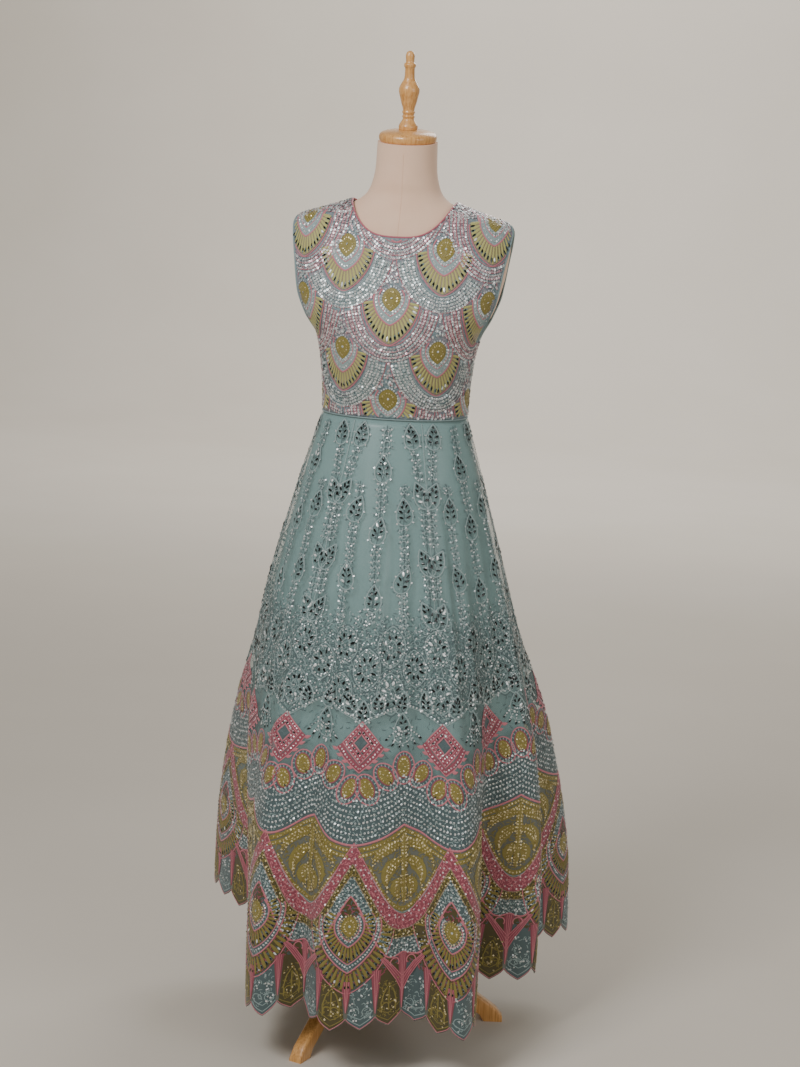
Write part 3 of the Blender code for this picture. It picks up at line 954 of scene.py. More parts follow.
@dataclass(frozen=True)
class CoverFinish:
    """Cotton jersey stretched over a padded form: matt, warm cream, with a fine knit."""

    colour: str = "#f3d1b6"
    shade: str = "#e8c1a5"
    rib_mm: float = 1.8

    def material(self) -> Material:
        """The cover; knit ribs of 0.9 mm drawn at 1.8 mm.

        Returns:
            The material.
        """
        made, tree, shader = new_material("cotton_jersey_cover", Roughness=0.9, Sheen_Weight=0.2)
        at = add_node(tree, "ShaderNodeTexCoord").outputs["Object"]
        drift = add_node(tree, "ShaderNodeTexNoise", Vector=at, Scale=22.0, Detail=4.0).outputs["Fac"]
        tone = add_node(tree, "ShaderNodeMix", RGBA, i0=drift, i6=self.colour, i7=self.shade)
        upright = {"bands_direction": "X"}
        scale = wave_scale(self.rib_mm)
        ribs = add_node(tree, "ShaderNodeTexWave", upright, Vector=at, Scale=scale, Distortion=2.0)
        bump = add_node(tree, "ShaderNodeBump", Height=ribs.outputs["Fac"], Strength=0.2, Distance=0.0003)
        plug(shader, {"Base Color": tone.outputs[2], "Normal": bump.outputs["Normal"]})
        return made


@dataclass(frozen=True)
class BeechFinish:
    """Turned beech under clear varnish: honey-coloured with fine upright grain and a soft gloss."""

    colour: str = "#e6ae69"
    grain: str = "#c4853f"

    def material(self) -> Material:
        """The wood; grain lines 3 mm apart, stretched up the piece.

        Returns:
            The material.
        """
        made, tree, shader = new_material(
            "varnished_beech", Roughness=0.38, Coat_Weight=0.5, Coat_Roughness=0.12, IOR=1.5
        )
        at = add_node(tree, "ShaderNodeTexCoord").outputs["Object"]
        long = add_node(tree, "ShaderNodeMapping", Vector=at, Scale=(330.0, 330.0, 22.0))
        grain = add_node(tree, "ShaderNodeTexNoise", Vector=long.outputs["Vector"], Scale=1.0, Detail=4.0)
        spread = add_node(
            tree, "ShaderNodeMapRange", Value=grain.outputs["Fac"], From_Min=0.38, From_Max=0.7
        )
        tone = add_node(
            tree, "ShaderNodeMix", RGBA, i0=spread.outputs["Result"], i6=self.colour, i7=self.grain
        )
        plug(shader, {"Base Color": tone.outputs[2]})
        return made


@dataclass(frozen=True)
class FloorFinish:
    """Matt pale paper that the stand rests on."""

    colour: str = "#d9d2c7"
    shade: str = "#d1c9bd"

    def material(self) -> Material:
        """The floor's paper, with a faint slow mottling.

        Returns:
            The material.
        """
        made, tree, shader = new_material("pale_paper_floor", Roughness=0.95)
        at = add_node(tree, "ShaderNodeTexCoord").outputs["Object"]
        drift = add_node(tree, "ShaderNodeTexNoise", Vector=at, Scale=1.5, Detail=3.0).outputs["Fac"]
        tone = add_node(tree, "ShaderNodeMix", RGBA, i0=drift, i6=self.colour, i7=self.shade)
        plug(shader, {"Base Color": tone.outputs[2]})
        return made


@dataclass
class Workroom:
    """Every finish of the gown and its stand, made once."""

    threads: list[Material] = field(default_factory=list)
    beads: list[Material] = field(default_factory=list)

    def __post_init__(self) -> None:
        """Make the materials, the threads and beads in the order of their Enums."""
        self.net = NetFinish().material()
        self.satin = SatinFinish().material()
        self.ground = GroundFinish().material()
        self.cover = CoverFinish().material()
        self.beech = BeechFinish().material()
        self.floor = FloorFinish().material()
        # Each thread's second colour is painted shade for the grooves between its stitches.
        threads = (
            ThreadFinish("grey_teal_rayon_stitch", "#5a6e71", "#3f5154"),
            ThreadFinish("silver_teal_rayon_stitch", "#a4b7b6", "#7f9596"),
            ThreadFinish("pink_rayon_stitch", "#d88a92", "#b6606f"),
            ThreadFinish("rose_rayon_stitch", "#a65060", "#7e3a48"),
            ThreadFinish("olive_rayon_stitch", "#9a8c42", "#73682d"),
            ThreadFinish("dark_olive_rayon_stitch", "#5b522c", "#423c20"),
            ThreadFinish("beige_rayon_cord", "#a9987c", "#86775f"),
            ThreadFinish("pale_lime_rayon_stitch", "#c6c27c", "#a3a05a"),
        )
        # Each sequin finish's second colour is a painted highlight.
        beads = (
            SequinFinish("silver_sequin", "#b9c8ca", "#ffffff"),
            SequinFinish("gold_sequin", "#9c8a4d", "#fff0c4", "#5c5226"),
            SequinFinish("rose_sequin", "#d3a8b2", "#fff4f4", "#8a5560"),
            # The dark mirrors: painted dark reflection.
            MirrorFinish(),
            ThreadFinish("silver_silk_couching", "#9fb0af", "#6f8585"),
            # Mirrors painted near-white: a painted reflection of light.
            SequinFinish("mirror_painted_white_reflection", "#e8f0f0", "#ffffff", "#ffffff"),
        )
        self.threads += [finish.material() for finish in threads]
        self.beads += [finish.material() for finish in beads]


def new_object(name: str, mesh: Mesh, materials: list[Material]) -> Object:
    """Link a mesh as a piece that rides on the gown's one body.

    Args:
        name: the piece's name.
        mesh: its mesh.
        materials: its finishes, in the order of its slots.

    Returns:
        The piece.
    """
    for material in materials:
        mesh.materials.append(material)
    made = bpy.data.objects.new(name, mesh)
    bpy.context.scene.collection.objects.link(made)
    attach(made, "root")
    LOG.info("%s: %d faces", name, len(mesh.polygons))
    return made


def grid_template(along: int, across: int) -> tuple[np.ndarray, np.ndarray]:
    """A flat grid from the grid operator.

    Args:
        along: how many faces one way.
        across: how many faces the other way.

    Returns:
        Each vertex's step [along, across], and the faces' four vertices each.
    """
    builder = bmesh.new()
    bmesh.ops.create_grid(builder, x_segments=along, y_segments=across, size=1.0)
    builder.verts.ensure_lookup_table()
    steps = np.array(
        [(round((v.co.x + 1) / 2 * along), round((v.co.y + 1) / 2 * across)) for v in builder.verts]
    )
    faces = np.array([[v.index for v in face.verts] for face in builder.faces])
    builder.free()
    return steps, faces


def disc_template(sides: int) -> tuple[np.ndarray, np.ndarray]:
    """A unit disc of triangles from the circle operator: its vertices (xyz) and faces.

    Args:
        sides: how many edges it has.

    Returns:
        The vertices and the faces.
    """
    builder = bmesh.new()
    bmesh.ops.create_circle(builder, cap_ends=True, cap_tris=True, segments=sides, radius=1.0)
    bmesh.ops.recalc_face_normals(builder, faces=builder.faces)
    builder.verts.ensure_lookup_table()
    points = np.array([v.co[:] for v in builder.verts])
    faces = np.array([[v.index for v in face.verts] for face in builder.faces])
    up = np.cross(points[faces[:, 1]] - points[faces[:, 0]], points[faces[:, 2]] - points[faces[:, 0]])[:, 2]
    faces[up < 0] = faces[up < 0][:, ::-1]
    builder.free()
    return points, faces


def joined_mesh(name: str, points: np.ndarray, faces: np.ndarray, slots: np.ndarray) -> Mesh:
    """A mesh of many copies of a template, from arrays of points, equal-sided faces and slot numbers.

    Args:
        name: the mesh's name.
        points: every vertex.
        faces: every face's vertex numbers.
        slots: every face's material slot.

    Returns:
        The mesh.
    """
    mesh = bpy.data.meshes.new(name)
    sides = faces.shape[1]
    mesh.vertices.add(len(points))
    mesh.vertices.foreach_set("co", points.astype(np.float32).ravel())
    mesh.loops.add(faces.size)
    mesh.loops.foreach_set("vertex_index", faces.astype(np.int32).ravel())
    mesh.polygons.add(len(faces))
    mesh.polygons.foreach_set("loop_start", np.arange(0, faces.size, sides, dtype=np.int32))
    mesh.polygons.foreach_set("material_index", slots.astype(np.int32))
    mesh.update(calc_edges=True)
    mesh.validate()
    return mesh


class Stitchery:
    """Threads, sequins and mirrors gathered for one cloth piece, then made into two joined meshes."""

    def __init__(self, cloth: ClothSurface, keep: Callable, seed: int) -> None:
        """Start with nothing sewn.

        Args:
            cloth: the surface it is sewn on.
            keep: a function of shares and levels that says which places are inside the cut.
            seed: the start of this piece's random draws.
        """
        self.cloth = cloth
        self.keep = keep
        self.random = np.random.default_rng(seed)
        self.coords: list[np.ndarray] = []
        self.lifts: list[np.ndarray] = []
        self.flats: list[np.ndarray] = []
        self.faces: list[np.ndarray] = []
        self.slots: list[np.ndarray] = []
        self.count = 0
        self.beads: list[np.ndarray] = []
        self.templates: dict[tuple[int, int], tuple[np.ndarray, np.ndarray]] = {}

    def template(self, along: int, across: int) -> tuple[np.ndarray, np.ndarray]:
        """A grid's steps and faces, made once for each size.

        Args:
            along: faces one way.
            across: faces the other way.

        Returns:
            The steps and the faces.
        """
        if (along, across) not in self.templates:
            self.templates[along, across] = grid_template(along, across)
        return self.templates[along, across]

    def fill(
        self,
        left: np.ndarray,
        right: np.ndarray,
        thread: Thread,
        across: int = 2,
        crown: float = 0.6,
        lift: float = 0.5,
    ) -> None:
        """Lay stitches between two paths.

        Args:
            left: places (share, level) along one side.
            right: as many places along the other side.
            thread: the thread.
            across: faces from side to side.
            crown: how much higher its middle is than its sides, in millimetres.
            lift: how far its sides stand off the cloth, in millimetres.
        """
        steps, faces = self.template(len(left) - 1, across)
        part = np.linspace(0.0, 1.0, across + 1)[None, :, None]
        grid = left[:, None] * (1 - part) + right[:, None] * part
        scale = self.cloth.metric(grid[..., 1])
        run = np.diff(grid.mean(axis=1), axis=0) * scale[1:, 0]
        u = np.concatenate([[0.0], np.cumsum(np.hypot(run[:, 0], run[:, 1]))])
        wide = (right - left) * scale[:, 0]
        v = part[0, :, 0][None, :] * np.hypot(wide[:, 0], wide[:, 1])[:, None]
        high = (lift + crown * np.sin(math.pi * part[0, :, 0])) * MM
        i, j = steps[:, 0], steps[:, 1]
        self.coords.append(grid[i, j])
        self.lifts.append(high[j])
        self.flats.append(np.stack([u[i], v[i, j]], axis=-1))
        self.faces.append(faces + self.count)
        self.slots.append(np.full(len(faces), int(thread)))
        self.count += len(steps)

    def line(
        self,
        path: np.ndarray,
        width: float | np.ndarray,
        thread: Thread,
        closed: bool = False,
        across: int = 2,
        crown: float = 0.6,
        lift: float = 0.6,
    ) -> None:
        """Lay a raised line of stitches along a path.

        Args:
            path: places (share, level) along it; a closed one ends where it starts.
            width: its width in millimetres, one or one for each place.
            thread: the thread.
            closed: True for a ring.
            across: faces from side to side.
            crown: how much higher its middle is, in millimetres.
            lift: how far its sides stand off the cloth, in millimetres.
        """
        scale = self.cloth.metric(path[:, 1])
        if closed:
            core = path[:-1]
            step = np.roll(core, -1, axis=0) - np.roll(core, 1, axis=0)
            step = np.concatenate([step, step[:1]])
        else:
            step = np.gradient(path, axis=0)
        flat = step * scale
        side = np.stack([-flat[:, 1], flat[:, 0]], axis=-1)
        side /= np.linalg.norm(side, axis=-1, keepdims=True) + 1e-12
        half = np.broadcast_to(np.asarray(width, float) * MM / 2, len(path))[:, None]
        offset = side * half / scale
        self.fill(path + offset, path - offset, thread, across, crown, lift)

    def sew(
        self, places: np.ndarray, bead: Bead, length: float, width: float, angle: np.ndarray | float = 0.0
    ) -> None:
        """Sew on beads of one kind.

        Args:
            places: places (share, level).
            bead: what is sewn.
            length: its length in millimetres.
            width: its width in millimetres.
            angle: the way its length points, in radians from straight across to straight down.
        """
        places = np.atleast_2d(places)
        count = len(places)
        row = np.empty((count, 6))
        row[:, :2] = places
        row[:, 2] = int(bead)
        row[:, 3] = length * MM / 2
        row[:, 4] = width * MM / 2
        row[:, 5] = angle
        self.beads.append(row)

    def sequins(self, places: np.ndarray, bead: Bead = Bead.SILVER, size: float = 3.8) -> None:
        """Sew round sequins at places."""
        self.sew(places, bead, size, size)

    def row(self, path: np.ndarray, step: float = 5.6, bead: Bead = Bead.SILVER, size: float = 3.8) -> None:
        """Sew an even row of sequins along a path."""
        places, _ = self.cloth.spaced(path, step)
        self.sequins(places, bead, size)

    def mirrors(
        self, places: np.ndarray, angle: np.ndarray | float, length: float = 8.0, width: float = 4.2
    ) -> None:
        """Sew cut almond mirrors in their couched rims.

        Args:
            places: their centres (share, level).
            angle: their turn in radians.
            length: their length in millimetres.
            width: their width in millimetres.
        """
        places = np.atleast_2d(places)
        angle = np.broadcast_to(angle, len(places))
        self.sew(places, Bead.RIM, length * 1.16, width * 1.24, angle)
        # About one mirror in seven is painted near-white as a painted reflection of light; the rest are
        # painted dark.
        bright = self.random.random(len(places)) < 0.14
        for chosen, bead in ((bright, Bead.FLASH), (~bright, Bead.MIRROR)):
            self.sew(places[chosen], bead, length, width, angle[chosen])

    def curls(
        self,
        places: np.ndarray,
        thread: Thread,
        length: float = 9.0,
        width: float = 1.2,
        bend: float = 2.6,
        lift: float = 0.8,
    ) -> None:
        """Short curled stitches in all directions, which cover the cloth between the motifs.

        Args:
            places: where they lie (share, level).
            thread: the thread.
            length: their length in millimetres.
            width: their width in millimetres.
            bend: how much they curl at the most, in radians.
            lift: how far they stand off the cloth, in millimetres.
        """
        count, knots = len(places), 5
        turns = self.random.uniform(0, TAU, count)
        bends = self.random.uniform(-bend, bend, count)
        way = turns[:, None] + bends[:, None] * np.linspace(-0.5, 0.5, knots)
        steps = np.stack([np.cos(way), np.sin(way)], axis=-1)
        run = np.cumsum(steps, axis=1) * length / knots * MM
        run -= run.mean(axis=1, keepdims=True)
        side = np.stack([-steps[..., 1], steps[..., 0]], axis=-1) * width / 2 * MM
        scale = self.cloth.metric(places[:, 1])[:, None]
        sides = [places[:, None] + (run + offset) / scale for offset in (side, -side)]
        grid, faces = self.template(knots - 1, 1)
        both = np.stack(sides, axis=2)[:, grid[:, 0], grid[:, 1]]
        self.coords.append(both.reshape(-1, 2))
        self.lifts.append(np.full(count * len(grid), lift * MM))
        flat = grid * (length / (knots - 1) * MM, width * MM)
        self.flats.append(np.tile(flat, (count, 1)))
        shifts = self.count + np.arange(count)[:, None, None] * len(grid)
        self.faces.append((faces[None] + shifts).reshape(-1, 4))
        self.slots.append(np.full(count * len(faces), int(thread)))
        self.count += count * len(grid)

    def threads_piece(self, name: str, materials: list[Material]) -> Object:
        """All threads as one mesh with the stitches' own UV map, in millimetre-true size.

        Args:
            name: the piece's name.
            materials: the threads' finishes.

        Returns:
            The piece.
        """
        coords = np.concatenate(self.coords)
        lifts = np.concatenate(self.lifts)
        flats = np.concatenate(self.flats)
        faces = np.concatenate(self.faces)
        slots = np.concatenate(self.slots)
        inside = self.keep(coords[:, 0], coords[:, 1])
        chosen = inside[faces].all(axis=1)
        faces, slots = faces[chosen], slots[chosen]
        used, faces = np.unique(faces, return_inverse=True)
        faces = faces.reshape(-1, 4)
        points = self.cloth.place(coords[used, 0], coords[used, 1], lifts[used])
        normal = self.cloth.read(self.cloth.normals, coords[used, 0], coords[used, 1])
        corner = points[faces]
        up = np.cross(corner[:, 2] - corner[:, 0], corner[:, 3] - corner[:, 1])
        wrong = (up * normal[faces[:, 0]]).sum(axis=-1) < 0
        faces[wrong] = faces[wrong][:, ::-1]
        mesh = joined_mesh(name, points, faces, slots)
        layer = mesh.uv_layers.new(name="stitch")
        index = np.zeros(len(mesh.loops), np.int32)
        mesh.loops.foreach_get("vertex_index", index)
        layer.data.foreach_set("uv", flats[used][index].astype(np.float32).ravel())
        mesh.shade_smooth()
        return new_object(name, mesh, materials)

    def beads_piece(self, name: str, materials: list[Material]) -> Object:
        """All sequins and mirrors as one mesh, each tilted a little its own way.

        Args:
            name: the piece's name.
            materials: the beads' finishes.

        Returns:
            The piece.
        """
        rows = np.concatenate(self.beads)
        rows = rows[self.keep(rows[:, 0], rows[:, 1])]
        points = self.cloth.place(rows[:, 0], rows[:, 1])
        normal = self.cloth.read(self.cloth.normals, rows[:, 0], rows[:, 1])
        right = self.cloth.read(self.cloth.across, rows[:, 0], rows[:, 1])
        down = np.cross(right, normal)
        bead = rows[:, 2].astype(int)
        flat = bead >= Bead.MIRROR
        tilt = np.where(flat, 0.16, 0.27)[:, None]
        lean = self.random.normal(size=(len(rows), 2)) * tilt
        normal = normal + right * lean[:, :1] + down * lean[:, 1:]
        normal /= np.linalg.norm(normal, axis=-1, keepdims=True)
        turn = rows[:, 5] + np.where(flat, 0.0, self.random.uniform(0, TAU, len(rows)))
        way = right * np.cos(turn)[:, None] + down * np.sin(turn)[:, None]
        way -= normal * (way * normal).sum(axis=-1, keepdims=True)
        way /= np.linalg.norm(way, axis=-1, keepdims=True)
        side = np.cross(normal, way)
        lift = np.where(bead == Bead.RIM, 1.2, 1.7) * MM
        groups, rims = [], []
        offset = 0
        for chosen, sides, pointed in ((~flat, 6, False), (flat, 8, True)):
            template, faces = disc_template(sides)
            x, y = template[:, 0], template[:, 1]
            if pointed:
                y = np.sign(y) * np.abs(y) ** 1.7
            centre = np.hypot(template[:, 0], template[:, 1]) < 0.5
            high = np.where(centre, 0.35 if not pointed else 0.8, 0.0) * MM
            picked = np.flatnonzero(chosen)
            spot = points[picked] + normal[picked] * lift[picked, None]
            shaped = (
                spot[:, None]
                + way[picked, None] * (x[None, :] * rows[picked, 3:4])[..., None]
                + side[picked, None] * (y[None, :] * rows[picked, 4:5])[..., None]
                + normal[picked, None] * high[None, :, None]
            )
            shifts = offset + np.arange(len(picked)) * len(template)
            groups.append(
                (
                    shaped.reshape(-1, 3),
                    (faces[None] + shifts[:, None, None]).reshape(-1, 3),
                    np.repeat(bead[picked], len(faces)),
                )
            )
            rims.append(np.tile(np.where(centre, 0.0, 1.0), len(picked)))
            offset += shaped.shape[0] * shaped.shape[1]
        mesh = joined_mesh(name, *(np.concatenate(part) for part in zip(*groups)))
        layer = mesh.attributes.new("rim", "FLOAT", "POINT")
        layer.data.foreach_set("value", np.concatenate(rims).astype(np.float32))
        return new_object(name, mesh, materials)


@dataclass(frozen=True)
class Spot:
    """Where a motif is centred on the cloth, with its turn and its size against the drawn one."""

    cloth: ClothSurface
    share: float
    level: float
    turn: float = 0.0
    size: float = 1.0

    def at(self, local: np.ndarray) -> np.ndarray:
        """Places of local points, by share on a flaring skirt and by distance from the middle elsewhere.

        Args:
            local: points in millimetres right and down of the centre.

        Returns:
            The places (share, level).
        """
        local = np.asarray(local, float) * self.size * MM
        c, s = math.cos(self.turn), math.sin(self.turn)
        x = local[..., 0] * c - local[..., 1] * s
        y = local[..., 0] * s + local[..., 1] * c
        level = self.level + y / self.cloth.drop
        length = self.cloth.length_at(level)
        own = length if self.cloth.wraps else float(self.cloth.length_at(self.level))
        return np.stack([(self.share * own + x) / length, level], axis=-1)


class RingKind(Enum):
    """What fills one ring of a fan."""

    LEAF = "leaf"
    BAND = "band"
    RODS = "rods"


@dataclass(frozen=True)
class FanRing:
    """One ring of a fan: its outline and opening, and its fill.

    Its outline is half_width wide at its middle and reaches top and bottom, all in millimetres. It is
    left open above, up to open_deg from its top on both sides; 0 closes it.
    """

    kind: RingKind
    half_width: float
    top: float
    bottom: float
    open_deg: float = 0.0
    point: float = 1.8

    def arc(self, alpha: np.ndarray) -> np.ndarray:
        """Points of the outline at angles, 0 at its top and pi at its foot."""
        return shield(alpha, self.half_width, self.top, self.bottom, self.point)

    def angles(self, count: int) -> np.ndarray:
        """Angles evenly spaced along the open outline.

        Args:
            count: how many.

        Returns:
            The angles, in radians.
        """
        first = math.radians(self.open_deg)
        fine = np.linspace(first, TAU - first, 241)
        run = np.concatenate([[0.0], np.cumsum(np.linalg.norm(np.diff(self.arc(fine), axis=0), axis=1))])
        return np.interp(np.linspace(0.0, run[-1], count), run, fine)


def shield(alpha: np.ndarray, half_width: float, top: float, bottom: float, point: float) -> np.ndarray:
    """Points of a shield, round above and pointed at its foot, in millimetres.

    Args:
        alpha: angles round it, 0 at its top and pi at its foot.
        half_width: half its width.
        top: from its centre up to its top.
        bottom: from its centre down to its foot.
        point: how pointed its foot is: 1 for round, 2 for straight sides.

    Returns:
        The points, right and down.
    """
    across = np.sin(alpha)
    high = np.cos(alpha)
    x = half_width * np.sign(across) * np.abs(across) ** np.where(high < 0, point, 1.2)
    return np.stack([x, -high * np.where(high < 0, bottom, top)], axis=-1)


# The greatest value of sin(a) * sin(a / 2), which brings a drop to its stated width
DROP_WIDEST = 0.7698


def teardrop(alpha: np.ndarray, half_width: float, top: float, bottom: float) -> np.ndarray:
    """Points of a drop, pointed above and full below, in millimetres.

    Args:
        alpha: angles round it, 0 at its upper point and pi at its foot.
        half_width: half its width.
        top: from its centre up to its point.
        bottom: from its centre down to its foot.

    Returns:
        The points, right and down.
    """
    x = half_width * np.sin(alpha) * np.sin(alpha / 2) / DROP_WIDEST
    low = -np.cos(alpha)
    y = np.where(low < 0, low * top, low * bottom)
    return np.stack([x, y], axis=-1)


def ellipse(half_width: float, half_height: float, count: int = 20) -> np.ndarray:
    """A closed ellipse, starting at its top, in millimetres right and down."""
    t = np.linspace(0.0, TAU, count + 1)
    return np.stack([half_width * np.sin(t), -half_height * np.cos(t)], axis=-1)


def leaf_path(
    length: float, bend: float, turn: float, start: tuple[float, float] = (0.0, 0.0), count: int = 6
) -> np.ndarray:
    """The curved middle line of a leaf.

    Args:
        length: its length in millimetres.
        bend: how much it turns from base to tip, in radians.
        turn: the way its base points, in radians from right to down.
        start: its base, right and down in millimetres.
        count: how many steps it has.

    Returns:
        The points from base to tip.
    """
    way = turn + bend * np.linspace(0.0, 1.0, count)
    steps = np.stack([np.cos(way), np.sin(way)], axis=-1) * length / count
    return np.concatenate([[(0.0, 0.0)], np.cumsum(steps, axis=0)]) + np.asarray(start)


def leaf_width(count: int, widest: float) -> np.ndarray:
    """A leaf's widths along its line: a full middle and a point at both ends."""
    t = np.linspace(0.0, 1.0, count)
    return np.maximum(widest * np.sin(math.pi * t**0.8), 0.3)


@dataclass(frozen=True)
class FeatherFan:
    """A hanging fan: a gold leaf in rings of teal and of rods, each ring edged with a pink line."""

    rings: tuple[FanRing, ...]
    rods: int = 23
    mirror: float = 7.6
    ground: Thread = Thread.DARK_OLIVE
    band: Thread = Thread.TEAL
    rod: Thread = Thread.OLIVE
    bead_rows: tuple[float, ...] = (0.5,)
    leaf_bead: Bead = Bead.GOLD

    def work(self, stitch: Stitchery, spot: Spot) -> None:
        """Embroider the fan at a spot, from its outer ring in.

        Args:
            stitch: where it is sewn.
            spot: where it lies and how it is turned.
        """
        for outer, inner in zip(self.rings, (*self.rings[1:], None)):
            alpha = outer.angles(33)
            if outer.kind is RingKind.RODS:
                self.rod_ring(stitch, spot, outer, inner)
            elif outer.kind is RingKind.BAND:
                stitch.fill(spot.at(outer.arc(alpha)), spot.at(inner.arc(alpha)), self.band, 2, 0.3, 0.8)
                stitch.line(spot.at(outer.arc(alpha)), 2.6, Thread.PINK, lift=0.9)
                for part in self.bead_rows:
                    between = outer.arc(alpha) * part + inner.arc(alpha) * (1 - part)
                    stitch.row(spot.at(between), 5.4, Bead.SILVER, 3.6)
                strays = stitch.random.uniform(alpha[0], alpha[-1], 34)
                part = stitch.random.uniform(0.1, 0.9, 34)[:, None]
                places = outer.arc(strays) * part + inner.arc(strays) * (1 - part)
                stitch.curls(spot.at(places), Thread.SILVER_TEAL, 6.0, 1.2, lift=1.0)
            else:
                whole = outer.arc(np.linspace(0.0, TAU, 21))
                stitch.fill(spot.at(whole), spot.at(whole * 0.02), Thread.OLIVE, 2, 0.9, 0.8)
                frill = outer.arc(np.linspace(0.9, TAU - 0.9, 21)) * 1.36
                stitch.line(spot.at(frill), 2.3, Thread.PINK, lift=0.9)
                stitch.row(spot.at(whole * 1.12), 5.0, self.leaf_bead, 3.6)
                stitch.row(spot.at(whole * 0.62), 4.6, Bead.GOLD, 3.2)
                stitch.sequins(spot.at([(0.0, 0.0)]), Bead.SILVER, 4.2)

    def rod_ring(self, stitch: Stitchery, spot: Spot, outer: FanRing, inner: FanRing) -> None:
        """A ring of gold rods on a darker ground, with cut mirrors at their outer ends.

        Args:
            stitch: where it is sewn.
            spot: where it lies and how it is turned.
            outer: the ring that the rods end on.
            inner: the ring that they start from.
        """
        fine = outer.angles(37)
        stitch.fill(spot.at(outer.arc(fine)), spot.at(inner.arc(fine)), self.ground, 1, 0.0, 0.75)
        alphas = outer.angles(self.rods)
        start, end = inner.arc(alphas) * 1.04, outer.arc(alphas) * 0.98
        gap = float(np.linalg.norm(np.diff(end, axis=0), axis=1).mean())
        for a, b in zip(start, end):
            path = a + (b - a) * np.linspace(0.0, 1.0, 5)[:, None]
            width = np.array([0.26, 0.40, 0.50, 0.54, 0.30]) * gap
            stitch.line(spot.at(path), width, self.rod, crown=1.0, lift=0.9)
        between = (alphas[1:] + alphas[:-1]) / 2
        near = inner.arc(between) * 0.24 + outer.arc(between) * 0.76
        reach = outer.arc(between) - inner.arc(between)
        angles = np.arctan2(reach[:, 1], reach[:, 0]) + spot.turn
        stitch.mirrors(spot.at(near), angles, self.mirror, self.mirror * 0.44)
        stitch.line(spot.at(outer.arc(fine) * 1.03), 1.9, Thread.PINK, lift=0.9)


BODICE_FAN = FeatherFan(
    rings=(
        FanRing(RingKind.RODS, 49.0, 30.0, 77.0, 98.0, 1.4),
        FanRing(RingKind.BAND, 31.0, 27.0, 45.0, 76.0, 1.5),
        FanRing(RingKind.LEAF, 16.5, 18.0, 22.0),
    ),
    rods=21,
    mirror=9.0,
    ground=Thread.BEIGE,
    band=Thread.SILVER_TEAL,
    rod=Thread.LIME,
    bead_rows=(0.28, 0.70),
    leaf_bead=Bead.SILVER,
)
SKIRT_FAN = FeatherFan(
    rings=(
        FanRing(RingKind.RODS, 79.0, 40.0, 122.0, 96.0, 1.5),
        FanRing(RingKind.BAND, 56.0, 44.0, 86.0, 70.0),
        FanRing(RingKind.RODS, 46.0, 42.0, 68.0, 56.0),
        FanRing(RingKind.BAND, 26.0, 32.0, 38.0, 40.0),
        FanRing(RingKind.LEAF, 14.0, 19.0, 20.0),
    ),
    rods=27,
    mirror=7.6,
)


@dataclass(frozen=True)
class VineLeaf:
    """A drop-shaped leaf in grey thread, with cut mirrors set in pairs like veins."""

    half_width: float = 13.5
    top: float = 21.0
    bottom: float = 23.0
    mirror: float = 9.0

    def work(self, stitch: Stitchery, spot: Spot) -> None:
        """Embroider the leaf at a spot.

        Args:
            stitch: where it is sewn.
            spot: where it lies and how it is turned.
        """
        outline = teardrop(np.linspace(0.0, TAU, 17), self.half_width, self.top, self.bottom)
        stitch.line(spot.at(outline * 1.10), 2.2, Thread.SILVER_TEAL, True, lift=0.9)
        inside = stitch.random.uniform(-0.85, 0.85, (26, 2)) * (self.half_width, self.top)
        stitch.curls(spot.at(inside[:12]), Thread.TEAL, 7.0, 1.5)
        stitch.curls(spot.at(inside[12:]), Thread.SILVER_TEAL, 7.0, 1.4, lift=1.1)
        around = outline[stitch.random.integers(0, 16, 8)] * 1.22
        stitch.curls(spot.at(around), Thread.TEAL, 6.5, 1.3)
        pairs = ((-8.5, 3.8, 62.0), (0.5, 6.2, 42.0), (10.5, 6.4, 28.0))
        width = self.mirror * 0.5
        for down, out, angle_deg in pairs:
            angle = math.radians(angle_deg)
            stitch.mirrors(spot.at([(out, down)]), -angle + spot.turn, self.mirror, width)
            stitch.mirrors(spot.at([(-out, down)]), angle + math.pi + spot.turn, self.mirror, width)
        stitch.mirrors(spot.at([(0.0, -15.5)]), math.pi / 2 + spot.turn, self.mirror * 0.85, width * 0.9)
        stitch.sequins(spot.at(outline[[4, 6, 8, 10, 12]] * 1.24), Bead.SILVER, 3.7)


@dataclass(frozen=True)
class Rosette:
    """A pointed oval of the lattice: mirrors set like rays inside lines of grey thread and sequins."""

    half_width: float = 25.0
    half_height: float = 33.0
    mirrors: int = 8

    def work(self, stitch: Stitchery, spot: Spot) -> None:
        """Embroider the oval at a spot.

        Args:
            stitch: where it is sewn.
            spot: where it lies and how it is turned.
        """
        t = np.linspace(0.0, TAU, 25)
        out = 1 - 0.22 * np.cos(t) ** 8
        outline = np.stack([self.half_width * np.sin(t) * out, -self.half_height * np.cos(t)], axis=-1)
        outline[:, 1] *= 1 + 0.12 * np.cos(t) ** 8
        stitch.line(spot.at(outline), 1.6, Thread.SILVER_TEAL, True)
        stitch.line(spot.at(outline * 1.10), 1.5, Thread.TEAL, True)
        stitch.line(spot.at(outline * 0.34), 1.4, Thread.SILVER_TEAL, True)
        stitch.row(spot.at(outline * 0.86), 7.4, Bead.SILVER, 3.0)
        turns = (np.arange(self.mirrors) + 0.5) / self.mirrors * TAU
        way = np.stack([self.half_width * np.sin(turns), -self.half_height * np.cos(turns)], axis=-1)
        angles = np.arctan2(way[:, 1], way[:, 0]) + spot.turn
        stitch.mirrors(spot.at(way * 0.58), angles, 10.0, 5.0)
        stitch.sequins(spot.at([(0.0, 0.0)]), Bead.SILVER, 4.0)


